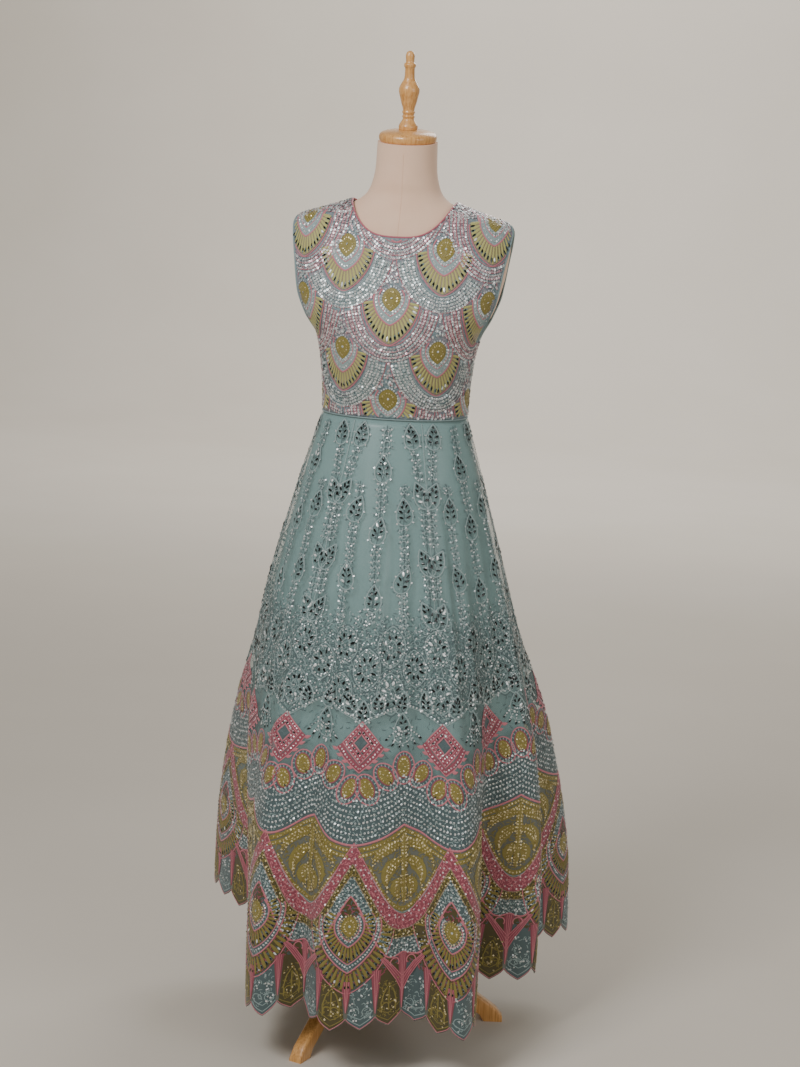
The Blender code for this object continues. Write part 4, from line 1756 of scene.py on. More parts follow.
@dataclass(frozen=True)
class LotusDiamond:
    """A square set on its point in rose thread, over a chevron of petals."""

    half_width: float = 31.0
    half_height: float = 36.0
    rise: float = 9.0

    def ring(self, part: float) -> np.ndarray:
        """The square at a part of its size, starting at its top, with a few points a side.

        Args:
            part: the part of its size, 1 for its edge.

        Returns:
            The points, right and down.
        """
        corners = np.array([(0, -1), (1, 0), (0, 1), (-1, 0), (0, -1)], float)
        corners *= (self.half_width * part, self.half_height * part)
        sides = [a + (b - a) * np.linspace(0, 1, 5)[:-1, None] for a, b in zip(corners, corners[1:])]
        return np.concatenate([*sides, corners[-1:]]) - (0.0, self.rise)

    def work(self, stitch: Stitchery, spot: Spot) -> None:
        """Embroider the diamond at a spot.

        Args:
            stitch: where it is sewn.
            spot: where it lies and how it is turned.
        """
        stitch.fill(spot.at(self.ring(1.0)), spot.at(self.ring(0.40)), Thread.DEEP_PINK, 3, 0.6, 0.6)
        stitch.fill(spot.at(self.ring(0.34)), spot.at(self.ring(0.02)), Thread.TEAL, 2, 0.3, 0.5)
        for part, width in ((1.02, 2.2), (0.76, 1.4), (0.42, 2.2)):
            stitch.line(spot.at(self.ring(part)), width, Thread.PINK, True, lift=1.0)
        stitch.row(spot.at(self.ring(0.89)), 6.2, Bead.ROSE, 3.2)
        places, angles = stitch.cloth.spaced(spot.at(self.ring(0.60)), 11.0)
        stitch.mirrors(places, angles + math.pi / 2, 5.2, 3.0)
        stitch.row(spot.at(self.ring(0.60)), 5.5, Bead.ROSE, 2.8)
        for side in (-1, 1):
            outer = np.array([(side * 41.0, 0.0), (side * 29.0, 16.0), (side * 13.0, 31.0), (0.0, 42.0)])
            inner = np.array([(side * 32.0, -9.0), (side * 22.0, 7.0), (side * 9.0, 21.0), (0.0, 30.0)])
            stitch.fill(spot.at(outer), spot.at(inner), Thread.DEEP_PINK, 2, 0.7, 0.6)
            stitch.line(spot.at(outer), 1.8, Thread.PINK, lift=0.9)
            stitch.row(spot.at((outer + inner) / 2), 5.6, Bead.ROSE, 3.4)
            for part in (0.04, 0.26, 0.5, 0.74):
                base = outer[0] * (1 - part) + outer[-1] * part
                petal = leaf_path(12.0, side * -0.9, math.pi / 2 - side * 1.1, base, 5)
                stitch.line(spot.at(petal), leaf_width(6, 6.4), Thread.PINK, crown=0.9)


@dataclass(frozen=True)
class GarlandOval:
    """An oval of the garland: a gold eye, an orange-pink line, a teal ring of rods and a pink edge."""

    half_width: float = 18.5
    half_height: float = 27.0

    def work(self, stitch: Stitchery, spot: Spot) -> None:
        """Embroider the oval at a spot.

        Args:
            stitch: where it is sewn.
            spot: where it lies and how it is turned.
        """
        whole = ellipse(self.half_width, self.half_height)
        eye = ellipse(self.half_width * 0.60, self.half_height * 0.68) - (0.0, self.half_height * 0.08)
        stitch.fill(spot.at(whole * 0.98), spot.at(eye), Thread.TEAL, 1, 0.2, 0.7)
        stitch.fill(spot.at(eye), spot.at(eye * 0.02), Thread.OLIVE, 2, 0.9, 0.9)
        stitch.line(spot.at(whole), 2.4, Thread.PINK, True, lift=0.9)
        stitch.line(spot.at(eye * 1.04), 2.0, Thread.DEEP_PINK, True, lift=1.1)
        for turn in np.linspace(0, TAU, 18, endpoint=False):
            way = np.array([math.sin(turn) * self.half_width, -math.cos(turn) * self.half_height])
            path = np.array([way * 0.74, way * 0.94])
            stitch.line(spot.at(path), 1.7, Thread.SILVER_TEAL, across=2, crown=0.6, lift=1.0)
        stitch.row(spot.at(eye * 0.72), 4.8, Bead.GOLD, 3.5)
        stitch.sequins(spot.at([(-1.5, -7.0), (2.5, -1.0), (-1.0, 5.5)]), Bead.GOLD, 3.6)
        turned_mirror = math.pi / 2 + spot.turn
        stitch.mirrors(spot.at([(0.0, 12.5)]), turned_mirror, 5.4, 2.8)


def beyond_low(k: np.ndarray) -> np.ndarray:
    """0 under a diamond (every half panel) and 1 midway between two of them."""
    return np.abs((k / 0.5 + 0.5) % 1.0 - 0.5) * 2


@dataclass(frozen=True)
class PanelDesign:
    """The levels of the skirt's borders, as waving lines along a panel."""

    garland_low: float = 0.606
    garland_rise: float = 0.036
    ogee_low: float = 0.695
    ogee_rise: float = 0.029
    wave_low: float = 0.834
    wave_rise: float = 0.128
    fan_level: float = 0.833

    def garland(self, k: np.ndarray) -> np.ndarray:
        """The line through the ovals of the garland."""
        return self.garland_low - self.garland_rise * (1 - np.cos(math.pi * beyond_low(k))) / 2

    def ogee(self, k: np.ndarray) -> np.ndarray:
        """The pointed arches over the gold palmettes."""
        return self.ogee_low - self.ogee_rise * beyond_low(k) ** 1.7

    def wave(self, k: np.ndarray) -> np.ndarray:
        """The broad pink wave: round under each palmette and pointed over each fan.

        Args:
            k: places across the panel.

        Returns:
            The wave's levels.
        """
        rise = 1 - beyond_low(k)
        soft = (1 - np.cos(math.pi * rise)) / 2
        return self.wave_low - self.wave_rise * (0.45 * soft + 0.55 * rise**1.9)

    def below_wave(self, offset: float) -> Line:
        """A line a little under the wave, further down at its peaks than in its valleys.

        Args:
            offset: how far under it at its valleys, in levels.

        Returns:
            The line.
        """
        def line(k: np.ndarray) -> np.ndarray:
            """The line's levels."""
            steep = np.sin(math.pi * (1 - beyond_low(k)) ** 0.8) ** 2
            return self.wave(k) + offset * (1 + 0.34 * (1 - beyond_low(k)) ** 2 + 0.42 * steep)

        return line

    def jaal_head(self, k: np.ndarray) -> np.ndarray:
        """The ragged upper edge of the lattice of rosettes."""
        return 0.336 + 0.009 * np.cos(k * TAU * 6)

    def jaal_foot(self, k: np.ndarray) -> np.ndarray:
        """The lower edge of the lattice of rosettes, pointed over each diamond."""
        return 0.488 - 0.030 * beyond_low(k) ** 0.8

    def petal_head(self, k: np.ndarray) -> np.ndarray:
        """Where the hem's petals start: lower under the fans than between them."""
        return 0.944 - 0.038 * beyond_low(k) ** 1.2


@dataclass(frozen=True)
class BorderBand:
    """A band that follows the wave: its upper and lower offset in level, its threads and its beads."""

    top: float
    bottom: float
    thread: Thread
    curl: Thread
    bead: Bead
    bead_step: float


WAVE_BANDS = (
    BorderBand(-0.0115, 0.0145, Thread.DEEP_PINK, Thread.PINK, Bead.ROSE, 11.0),
    BorderBand(0.0153, 0.0283, Thread.DARK_OLIVE, Thread.OLIVE, Bead.GOLD, 7.2),
    BorderBand(0.0290, 0.0550, Thread.TEAL, Thread.SILVER_TEAL, Bead.SILVER, 8.2),
)


class SkirtEmbroidery:
    """Everything sewn on one skirt panel, from the vines at the waist to the petals at the hem."""

    def __init__(self, index: int, cloth: ClothSurface, design: PanelDesign) -> None:
        """Set up the panel's stitchery.

        Args:
            index: the panel's place from the front towards the wearer's left.
            cloth: the skirt's net.
            design: the levels of the borders.
        """
        self.index = index
        self.cloth = cloth
        self.design = design
        self.stitch = Stitchery(cloth, self.inside, seed=40 + index)
        self.fine = np.linspace(-0.5, 0.5, 97)

    def inside(self, share: np.ndarray, level: np.ndarray) -> np.ndarray:
        """Which places are on the net, clear of the waist seam and of the hem's edge."""
        return (level > 0.004) & (level < hem_level(self.cloth, share) - 0.001)

    def path(self, k: np.ndarray, level: np.ndarray) -> np.ndarray:
        """Places of a line given by its place across the panel (-0.5 to 0.5) and its level."""
        k = np.asarray(k, float)
        return np.stack([(self.index + k) / len(KALIS), np.broadcast_to(level, k.shape)], axis=-1)

    def spot(self, k: float, level: float, turn: float = 0.0, size: float = 1.0) -> Spot:
        """A motif's spot, by its place across the panel and its level."""
        return Spot(self.cloth, (self.index + k) / len(KALIS), level, turn, size)

    def slope(self, line: Line, k: float) -> float:
        """How much a border's line tilts at a place, in radians.

        Args:
            line: the border's line.
            k: the place across the panel.

        Returns:
            The tilt.
        """
        step = 0.004
        rise = float(line(np.array(k + step)) - line(np.array(k - step))) * self.cloth.drop
        level = float(line(np.array(k)))
        return math.atan2(rise, 2 * step / len(KALIS) * float(self.cloth.length_at(level)))

    def band(
        self, top: Line, bottom: Line, thread: Thread, across: int = 4, k: np.ndarray | None = None
    ) -> None:
        """A flat band of thread between two lines of the design."""
        k = self.fine if k is None else k
        self.stitch.fill(self.path(k, top(k)), self.path(k, bottom(k)), thread, across, 0.3, 0.4)

    def strewn(self, top: Line, bottom: Line, step: float, jitter: float) -> np.ndarray:
        """Places strewn over the panel between two lines.

        Args:
            top: the upper line, a function of the place across the panel.
            bottom: the lower line.
            step: their spacing in millimetres.
            jitter: how far they stray, as a part of the spacing.

        Returns:
            The places (share, level).
        """
        found = []
        down = step * MM * 0.866 / self.cloth.drop
        lowest = float(np.min(top(self.fine)))
        highest = float(np.max(bottom(self.fine)))
        for order, level in enumerate(np.arange(lowest, highest, down)):
            width = float(self.cloth.length_at(level)) / len(KALIS)
            count = max(int(width / (step * MM)), 1)
            k = (np.arange(count) + 0.5 * (order % 2)) / count - 0.5
            k += self.stitch.random.uniform(-jitter, jitter, count) / count
            found.append(np.stack([k, np.full(count, level)], axis=-1))
        spots = np.concatenate(found)
        spots[:, 1] += self.stitch.random.uniform(-jitter, jitter, len(spots)) * down
        chosen = (spots[:, 1] > top(spots[:, 0])) & (spots[:, 1] < bottom(spots[:, 0]))
        return self.path(spots[chosen, 0], spots[chosen, 1])

    def vine(self, k: np.ndarray, levels: np.ndarray, leaves: tuple[float, ...], reach: float) -> None:
        """One vine: a stem with curls and pairs of sequins, left open where its leaves are.

        Args:
            k: the stem's places across the panel.
            levels: its levels.
            leaves: the levels of its leaves.
            reach: how far the curls reach to each side, in millimetres.
        """
        self.stitch.line(self.path(k, levels), 1.3, Thread.TEAL)
        for level in np.arange(levels[0] + 0.006, levels[-1], 0.0098):
            if leaves and min(abs(level - leaf) for leaf in leaves) < 0.023:
                continue
            spot = self.spot(float(np.interp(level, levels, k)), level, self.stitch.random.normal() * 0.12)
            for side in (-1, 1):
                curl = leaf_path(reach, side * 1.6, math.pi / 2 - side * 1.35, (0.0, 0.0), 4)
                self.stitch.line(spot.at(curl), leaf_width(5, 2.6), Thread.SILVER_TEAL, across=1, lift=1.0)
                # The grey-teal curl laid beside each silver curl is painted shadow along the raised silver
                # thread.
                dark = leaf_path(reach, side * -1.4, -math.pi / 2 + side * 1.3, (0.0, 2.5), 4)
                self.stitch.line(spot.at(dark), leaf_width(5, 2.2), Thread.TEAL, across=1)
            strays = self.stitch.random.uniform(-1.0, 1.0, (5, 2)) * (reach * 1.15, 5.0)
            self.stitch.curls(spot.at(strays[:2]), Thread.TEAL, 7.0, 1.4)
            self.stitch.curls(spot.at(strays[2:]), Thread.SILVER_TEAL, 6.5, 1.4, lift=1.1)
            pair = np.array([(-reach * 0.70, 1.0), (reach * 0.70, 1.0)])
            self.stitch.sequins(spot.at(pair), Bead.SILVER, 3.6)
            if self.stitch.random.random() < 0.5:
                self.stitch.sequins(spot.at([(self.stitch.random.normal() * 2.0, 5.0)]), Bead.SILVER, 3.2)

    def vines(self) -> None:
        """A vine down the panel's middle, and two that join into a double one at its left seam."""
        middle = np.linspace(0.010, 0.338, 60)
        leaves = (0.080, 0.182, 0.292)
        self.vine(0.006 * np.sin(middle * 50), middle, leaves, 10.5)
        for leaf in leaves:
            turn = self.stitch.random.normal() * 0.10
            VineLeaf().work(self.stitch, self.spot(0.006 * math.sin(leaf * 50), leaf, turn))
        upper = np.linspace(0.010, 0.150, 30)
        for side in (-1, 1):
            k = 0.5 + side * 0.165 * np.clip(1 - upper / 0.150, 0.0, 1.0) ** 0.7
            self.vine(k, upper, (0.024, 0.122), 9.0)
            turn = side * 0.10
            VineLeaf().work(self.stitch, self.spot(0.5 + side * 0.155, 0.026, turn, 0.94))
        between = np.linspace(0.105, 0.338, 50)
        for k in (-0.25, 0.25):
            self.vine(k + 0.005 * np.sin(between * 60 + k), between, (0.150, 0.262), 9.0)
            for leaf in (0.150, 0.262):
                turn = self.stitch.random.normal() * 0.12
                VineLeaf().work(self.stitch, self.spot(k + 0.005 * math.sin(leaf * 60 + k), leaf, turn))
        lower = np.linspace(0.146, 0.338, 40)
        for side in (-1, 1):
            self.vine(np.full_like(lower, 0.5 + side * 0.034), lower, (0.232, 0.318), 10.0)
        for leaf in (0.122, 0.232, 0.318):
            for side in (-1, 1):
                across = 0.5 + side * 0.070 * (0.45 / (0.35 + leaf))
                spot = self.spot(across, leaf, side * 0.42 + self.stitch.random.normal() * 0.05)
                VineLeaf().work(self.stitch, spot)

    def jaal(self) -> None:
        """The dense lattice of rosettes over the diamonds, filled with curls and sequins."""
        centres = [(k, 0.372) for k in (-1 / 6, 1 / 6, 0.5)]
        centres += [(k, 0.408) for k in (-1 / 3, 0.0, 1 / 3)]
        centres += [(k, 0.447) for k in (-1 / 6, 1 / 6, 0.5)]
        for order, (k, level) in enumerate(centres):
            size = 0.86 + 0.10 * (order % 3 == 1)
            Rosette().work(self.stitch, self.spot(k, level, self.stitch.random.normal() * 0.08, size))
        for k in (-0.40, -0.245, -0.09, 0.09, 0.245, 0.40):
            VineLeaf().work(self.stitch, self.spot(k, 0.462, self.stitch.random.normal() * 0.3, 0.8))
        for k in (-0.245, 0.245):
            VineLeaf().work(self.stitch, self.spot(k, 0.503, 0.0, 1.1))
        VineLeaf().work(self.stitch, self.spot(0.0, 0.476, 0.0, 0.85))
        head, foot = self.design.jaal_head, self.design.jaal_foot
        self.stitch.curls(self.strewn(head, foot, 6.4, 0.5), Thread.TEAL, 10.0, 1.6)
        self.stitch.curls(self.strewn(head, foot, 7.4, 0.5), Thread.SILVER_TEAL, 9.0, 1.2, lift=1.1)
        self.stitch.sequins(self.strewn(head, foot, 10.4, 0.5), Bead.SILVER, 3.0)

        def above(k: np.ndarray) -> np.ndarray:
            """The uneven top of the sprays over the lattice."""
            return head(k) - 0.026 - 0.010 * np.cos(k * TAU * 5)

        for thread in (Thread.TEAL, Thread.SILVER_TEAL):
            self.stitch.curls(self.strewn(above, head, 11.5, 0.5), thread, 9.0, 1.4)
        self.stitch.sequins(self.strewn(above, head, 15.0, 0.5), Bead.SILVER, 3.2)
        for offset, thread in ((0.003, Thread.TEAL), (0.009, Thread.SILVER_TEAL)):
            self.stitch.line(self.path(self.fine, foot(self.fine) + offset), 1.6, thread)
        self.stitch.row(self.path(self.fine, foot(self.fine) + 0.006), 6.0, Bead.SILVER, 3.4)

    def diamonds(self) -> None:
        """Rose diamonds under the lattice's points, with grey sprays between them."""
        for k in (0.0, 0.5):
            LotusDiamond().work(self.stitch, self.spot(k, 0.535, self.stitch.random.normal() * 0.09))
        for k in (-0.25, 0.25):
            spot = self.spot(k, 0.520)
            for turn in (-1.35, -0.8, -0.3, 0.3, 0.8, 1.35):
                stem = leaf_path(30.0, turn * -0.5, math.pi / 2 + turn, (turn * -4.0, -14.0), 7)
                self.stitch.line(spot.at(stem), 1.6, Thread.TEAL)
                self.stitch.row(spot.at(stem), 6.0, Bead.SILVER, 3.3)
                self.stitch.mirrors(spot.at(stem[-1:]), math.pi / 2 + turn, 7.4, 3.6)

        def low(k: np.ndarray) -> np.ndarray:
            """Where the curls end over the garland."""
            return self.design.garland(k) - 0.030

        self.stitch.curls(self.strewn(self.design.jaal_foot, low, 15.0, 0.5), Thread.TEAL, 9.0, 1.3)

    def garland(self) -> None:
        """The garland of ten ovals, tilting along its line, with teal thread under them."""
        places = (np.arange(10) + 0.5) / 10 - 0.5
        for order, k in enumerate(places):
            level = float(self.design.garland(np.array(k)))
            turn = self.slope(self.design.garland, k) * 0.9 + self.stitch.random.normal() * 0.10
            GarlandOval().work(self.stitch, self.spot(k, level, turn, 1.0 + 0.06 * (order % 2)))

    def sequin_band(self) -> None:
        """Silver sequins and grey curls on teal thread between the garland and the arches."""
        bottom = self.design.ogee

        def top(k: np.ndarray) -> np.ndarray:
            """The band's upper line, under the garland's middle."""
            return self.design.garland(k) + 0.012

        self.band(top, bottom, Thread.TEAL, 6)
        self.stitch.curls(self.strewn(top, bottom, 9.0, 0.5), Thread.SILVER_TEAL, 9.0, 1.3)
        for order in range(1, 12):
            path = self.path(self.fine, bottom(self.fine) - order * 0.0092)
            places, _ = self.cloth.spaced(path, 6.6)
            clear = places[:, 1] > top(places[:, 0] * len(KALIS) - self.index)
            self.stitch.sequins(places[clear], Bead.SILVER, 4.1)
        self.stitch.line(self.path(self.fine, bottom(self.fine)), 3.6, Thread.PINK, crown=0.9, lift=0.9)

    def palmettes(self) -> None:
        """A gold palmette under each arch: a stem with paired leaves, sequins, and border bands."""
        leaves = (
            (-46.0, 66.0, 0.02, 0.95, 22.0),
            (-17.0, 66.0, 0.20, 1.70, 25.0),
            (17.0, 46.0, 0.45, 2.10, 21.0),
        )
        for centre in (-0.25, 0.25):
            k = np.linspace(centre - 0.225, centre + 0.225, 45)
            for top, bottom in ((0.0045, 0.0125), (0.0150, 0.0225)):
                lines = [self.path(k, self.design.ogee(k) + offset) for offset in (top, bottom)]
                self.stitch.fill(*lines, Thread.OLIVE, 2, 0.5, 0.5)
                self.stitch.row((lines[0] + lines[1]) / 2, 5.8, Bead.GOLD, 4.0)
            spot = self.spot(centre, 0.742)
            down = np.linspace(-66.0, 62.0, 9)
            stem = np.stack([np.zeros(9), down], axis=-1)
            width = np.array([5.0, 10.0, 13.0, 12.0, 10.0, 9.0, 10.0, 12.0, 4.0])
            self.stitch.line(spot.at(stem), width, Thread.OLIVE, across=3, crown=1.2)
            for out in (-3.0, 3.0):
                self.stitch.row(spot.at(stem + (out, 0.0)), 5.8, Bead.GOLD, 3.7)
            for start, length, turn, bend, width in leaves:
                for side in (-1, 1):
                    way = turn if side > 0 else math.pi - turn
                    leaf = leaf_path(length, side * bend, way, (side * 3.0, start), 10)
                    self.stitch.line(spot.at(leaf), leaf_width(11, width), Thread.OLIVE, across=3)
                    for part in (-0.30, 0.0, 0.30):
                        edge = leaf + (0.0, part * width)
                        self.stitch.row(spot.at(edge), 6.2, Bead.GOLD, 3.8)
            rim = np.linspace(centre - 0.175, centre + 0.175, 37)
            lines = [self.path(rim, self.design.wave(rim) + offset) for offset in (-0.0265, -0.0175)]
            self.stitch.fill(*lines, Thread.OLIVE, 2, 0.5, 0.5)
            self.stitch.row((lines[0] + lines[1]) / 2, 6.2, Bead.GOLD, 3.8)
            self.stitch.line(self.path(rim, self.design.wave(rim) - 0.0150), 1.5, Thread.SILVER_TEAL)
        low = self.design.below_wave(-0.0130)
        self.stitch.curls(self.strewn(self.design.ogee, low, 8.0, 0.5), Thread.OLIVE, 9.0, 1.6)

    def waves(self) -> None:
        """The broad pink wave and the gold and teal bands under it, each with its curls and beads."""
        for band in WAVE_BANDS:
            top, bottom = self.design.below_wave(band.top), self.design.below_wave(band.bottom)
            self.band(top, bottom, band.thread, 4)
            self.stitch.curls(self.strewn(top, bottom, 5.6, 0.5), band.curl, 7.0, 1.7)
            self.stitch.sequins(self.strewn(top, bottom, band.bead_step, 0.35), band.bead, 3.6)
        for offset, thread in ((-0.0115, Thread.PINK), (0.0149, Thread.BEIGE), (0.0286, Thread.BEIGE)):
            line = self.design.below_wave(offset)
            self.stitch.line(self.path(self.fine, line(self.fine)), 1.6, thread, lift=0.9)
        edge = self.design.below_wave(0.0560)
        self.stitch.line(self.path(self.fine, edge(self.fine)), 3.0, Thread.PINK, lift=0.9)

    def fans(self) -> None:
        """Large two-tiered fans over the hem, on a band of dark olive thread strewn with rose and teal curls.
        """
        top = self.design.below_wave(0.0560)
        self.band(top, self.design.petal_head, Thread.DARK_OLIVE, 3)
        strays = self.strewn(top, self.design.petal_head, 9.0, 0.5)
        self.stitch.curls(strays, Thread.DEEP_PINK, 10.0, 2.2)
        self.stitch.curls(self.strewn(top, self.design.petal_head, 10.0, 0.5), Thread.TEAL, 9.0, 1.8)
        for k in (0.0, 0.5):
            SKIRT_FAN.work(self.stitch, self.spot(k, self.design.fan_level))

    def rose_leaves(self) -> None:
        """A V of broad rose leaves over the petals midway between two fans."""
        for k in (-0.25, 0.25):
            spot = self.spot(k, 0.926)
            for side in (-1, 1):
                outer = np.array(
                    [(side * 44.0, -34.0), (side * 29.0, -12.0), (side * 13.0, 12.0), (0.0, 38.0)]
                )
                inner = np.array([(side * 38.0, -36.0), (side * 20.0, -16.0), (side * 7.0, 0.0), (0.0, 8.0)])
                self.stitch.fill(spot.at(outer), spot.at(inner), Thread.DEEP_PINK, 3, 0.8, 0.9)
                for part in (0.0, 0.35, 0.7, 1.0):
                    line = outer * (1 - part) + inner * part
                    self.stitch.line(spot.at(line), 1.6, Thread.PINK, lift=1.3)
                curl = leaf_path(40.0, side * 4.2, -math.pi / 2 - side * 0.4, (side * 9.0, -16.0), 12)
                self.stitch.line(spot.at(curl), 2.4, Thread.PINK, lift=1.1)

    def hem_petals(self) -> None:
        """The petals of the hem in teal and olive by turns, with rose wedges between and a cord edge."""
        cells = PETALS_PER_KALI
        for order in range(cells):
            low, high = order / cells - 0.5, (order + 1) / cells - 0.5
            k = np.linspace(low + 0.006, high - 0.006, 11)
            middle = (low + high) / 2
            share = (self.index + k) / len(KALIS)
            foot = self.path(k, hem_level(self.cloth, share) - 0.003)
            head = self.path(middle + (k - middle) * 0.72, self.design.petal_head(k) - 0.004)
            teal = order % 2 == 0
            self.stitch.fill(head, foot, Thread.TEAL if teal else Thread.DARK_OLIVE, 8, 0.3, 0.4)
            for part in (0.93, 0.80):
                self.stitch.line(
                    head + (foot - head) * part, 1.6, Thread.SILVER_TEAL if teal else Thread.OLIVE
                )
            self.petal_inside(self.spot(middle, 0.968), teal)
            self.wedge(low)
        k = np.linspace(-0.5, 0.5, cells * 10 + 1)
        share = (self.index + k) / len(KALIS)
        self.stitch.line(self.path(k, hem_level(self.cloth, share) - 0.0022), 2.2, Thread.PINK, lift=0.9)

    def petal_inside(self, spot: Spot, teal: bool) -> None:
        """The swirls of a teal petal, or the arch and trefoil of an olive one.

        Args:
            spot: the petal's place.
            teal: True for a teal petal.
        """
        places = self.stitch.random.uniform(-1.0, 1.0, (44, 2)) * (19.0, 34.0)
        curl = Thread.SILVER_TEAL if teal else Thread.OLIVE
        bead = Bead.SILVER if teal else Bead.GOLD
        self.stitch.curls(spot.at(places), curl, 9.0, 1.3, bend=4.0, lift=0.8)
        beads = self.stitch.random.uniform(-1.0, 1.0, (22, 2)) * (19.0, 36.0)
        self.stitch.sequins(spot.at(beads), bead, 3.6)
        if teal:
            for side in (-1, 1):
                swirl = leaf_path(40.0, side * 4.4, -math.pi / 2 - side * 0.1, (side * 3.0, 22.0), 12)
                self.stitch.line(spot.at(swirl), 1.5, Thread.SILVER_TEAL, across=1, lift=1.1)
            return
        arch = np.array([(-14.0, 26.0), (-15.0, 6.0), (-9.0, -14.0), (0.0, -26.0)])
        arch = np.concatenate([arch, arch[-2::-1] * (-1.0, 1.0)])
        self.stitch.line(spot.at(arch), 2.6, Thread.OLIVE, crown=1.0, lift=1.0)
        self.stitch.line(spot.at([(0.0, -20.0), (0.0, 2.0), (0.0, 24.0)]), 2.6, Thread.OLIVE, lift=1.0)
        for side in (-1, 1):
            scroll = leaf_path(26.0, side * 3.2, -math.pi / 2 + side * 0.7, (0.0, 12.0), 9)
            self.stitch.line(spot.at(scroll), 2.4, Thread.OLIVE, lift=1.1)

    def wedge(self, k: float) -> None:
        """A rose wedge between two petals, broad above and pointed below, with lighter veins.

        Args:
            k: its place across the panel.
        """
        stray = self.stitch.random.normal() * 0.003
        levels = np.linspace(float(self.design.petal_head(np.array(k))) - 0.014, 0.988 + stray, 9)
        width = 17.0 * (1 - np.linspace(0.0, 1.0, 9)) ** 0.8 + 1.6
        path = self.path(np.full(9, k), levels)
        self.stitch.line(path, width, Thread.DEEP_PINK, across=3, crown=0.8, lift=0.8)
        for out in (-0.010, 0.0, 0.010):
            veins = path + np.stack([out / 6 * (1 - np.linspace(0, 1, 9)), np.zeros(9)], axis=-1)
            self.stitch.line(veins, 1.3, Thread.PINK, lift=1.6, crown=0.5)

    def seams(self) -> None:
        """The pressed seam at the panel's edge, a thin light line down to the borders."""
        levels = np.linspace(0.005, 0.330, 60)
        self.stitch.line(self.path(np.full(60, 0.5), levels), 1.5, Thread.SILVER_TEAL, crown=0.2)

    def work(self) -> None:
        """Embroider the whole panel."""
        self.seams()
        self.vines()
        self.jaal()
        self.diamonds()
        self.sequin_band()
        self.garland()
        self.palmettes()
        self.hem_petals()
        self.fans()
        self.rose_leaves()
        self.waves()


def hem_level(cloth: ClothSurface, share: np.ndarray) -> np.ndarray:
    """The level of the petal edge at shares of the skirt.

    Args:
        cloth: the skirt's cloth.
        share: places round the skirt.

    Returns:
        The levels.
    """
    share = np.asarray(share, float)
    hem_z = cloth.read(cloth.points, share, np.ones_like(share))[..., 2]
    return 1 + petal_drop(share) / (WAIST_Z - hem_z)


def shell_mesh(name: str, columns: int, rows: int, mapping: Callable, welded: bool = False) -> Mesh:
    """A cloth shell: the grid operator's grid laid on a surface.

    Args:
        name: the mesh's name.
        columns: faces across.
        rows: faces down.
        mapping: a function of arrays u (across) and v (down), 0 to 1, giving points.
        welded: True where the first and last columns meet.

    Returns:
        The mesh, smooth and facing out.
    """
    builder = bmesh.new()
    bmesh.ops.create_grid(builder, x_segments=columns, y_segments=rows, size=1.0)
    builder.verts.ensure_lookup_table()
    flat = np.array([v.co[:] for v in builder.verts])
    points = mapping((flat[:, 0] + 1) / 2, (1 - flat[:, 1]) / 2)
    for vertex, point in zip(builder.verts, points):
        vertex.co = point
    if welded:
        bmesh.ops.remove_doubles(builder, verts=builder.verts, dist=1e-5)
    mesh = bpy.data.meshes.new(name)
    builder.to_mesh(mesh)
    builder.free()
    mesh.shade_smooth()
    return mesh


@dataclass
class Skirt:
    """The net panels with their embroidery, and the satin lining inside them."""

    room: Workroom
    columns_per_petal: int = 10
    panel_rows: int = 76
    lining_columns: int = 168
    lining_rows: int = 46
    lining_wall: float = 0.0008
    hem_z: float = 0.135

    def build(self) -> None:
        self.net = skirt_surface(NET_CREASES, lining=False)
        self.satin = skirt_surface(LINING_CREASES, lining=True)
        self.build_lining()
        for index, name in enumerate(KALIS):
            self.build_panel(index, name)

    def build_lining(self) -> None:
        """The satin lining, a flared tube with a narrow hem."""

        def mapping(u: np.ndarray, v: np.ndarray) -> np.ndarray:
            """A point of the lining.

            Args:
                u: shares across, 0 to 1.
                v: shares down, 0 to 1.

            Returns:
                The points, [..., xyz].
            """
            points = self.satin.place(u - 0.5, v * LINING_HEM_LEVEL)
            points[:, 2] = np.minimum(points[:, 2], WAIST_Z - SEAM_GAP)
            return points

        mesh = shell_mesh("satin_lining", self.lining_columns, self.lining_rows, mapping, welded=True)
        made = new_object("satin_lining", mesh, [self.room.satin])
        wall = made.modifiers.new("wall", "SOLIDIFY")
        wall.thickness = self.lining_wall
        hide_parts("skirt_lining")
        levels = np.linspace(0.0, LINING_HEM_LEVEL, 50)
        lengths = self.satin.length_at(levels)

    def build_panel(self, index: int, name: str) -> None:
        """One panel of net with its embroidery.

        Args:
            index: its place from the front towards the wearer's left.
            name: its name.
        """

        def mapping(u: np.ndarray, v: np.ndarray) -> np.ndarray:
            """A point of the panel.

            Args:
                u: shares across, 0 to 1.
                v: shares down, 0 to 1.

            Returns:
                The points, [..., xyz].
            """
            share = (index - 0.5 + u) / len(KALIS)
            drop = (hem_level(self.net, share) - 1) * np.clip((v - 0.9) / 0.1, 0.0, 1.0)
            return self.net.place(share, v + drop)

        columns = PETALS_PER_KALI * self.columns_per_petal
        mesh = shell_mesh(f"net_{name}", columns, self.panel_rows, mapping)
        builder = bmesh.new()
        builder.from_mesh(mesh)
        layer = builder.verts.layers.float.new("level")
        for vertex in builder.verts:
            vertex[layer] = (WAIST_Z - vertex.co.z) / (WAIST_Z - self.hem_z)
        builder.to_mesh(mesh)
        builder.free()
        made = new_object(f"net_{name}", mesh, [self.room.net])
        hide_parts(f"kali_{name}")
        work = SkirtEmbroidery(index, self.net, PanelDesign())
        work.work()
        threads = work.stitch.threads_piece(f"threads_{name}", self.room.threads)
        beads = work.stitch.beads_piece(f"sequins_{name}", self.room.beads)
        levels = np.linspace(0.0, 1.0, 60)
        width = self.net.length_at(levels) / len(KALIS)


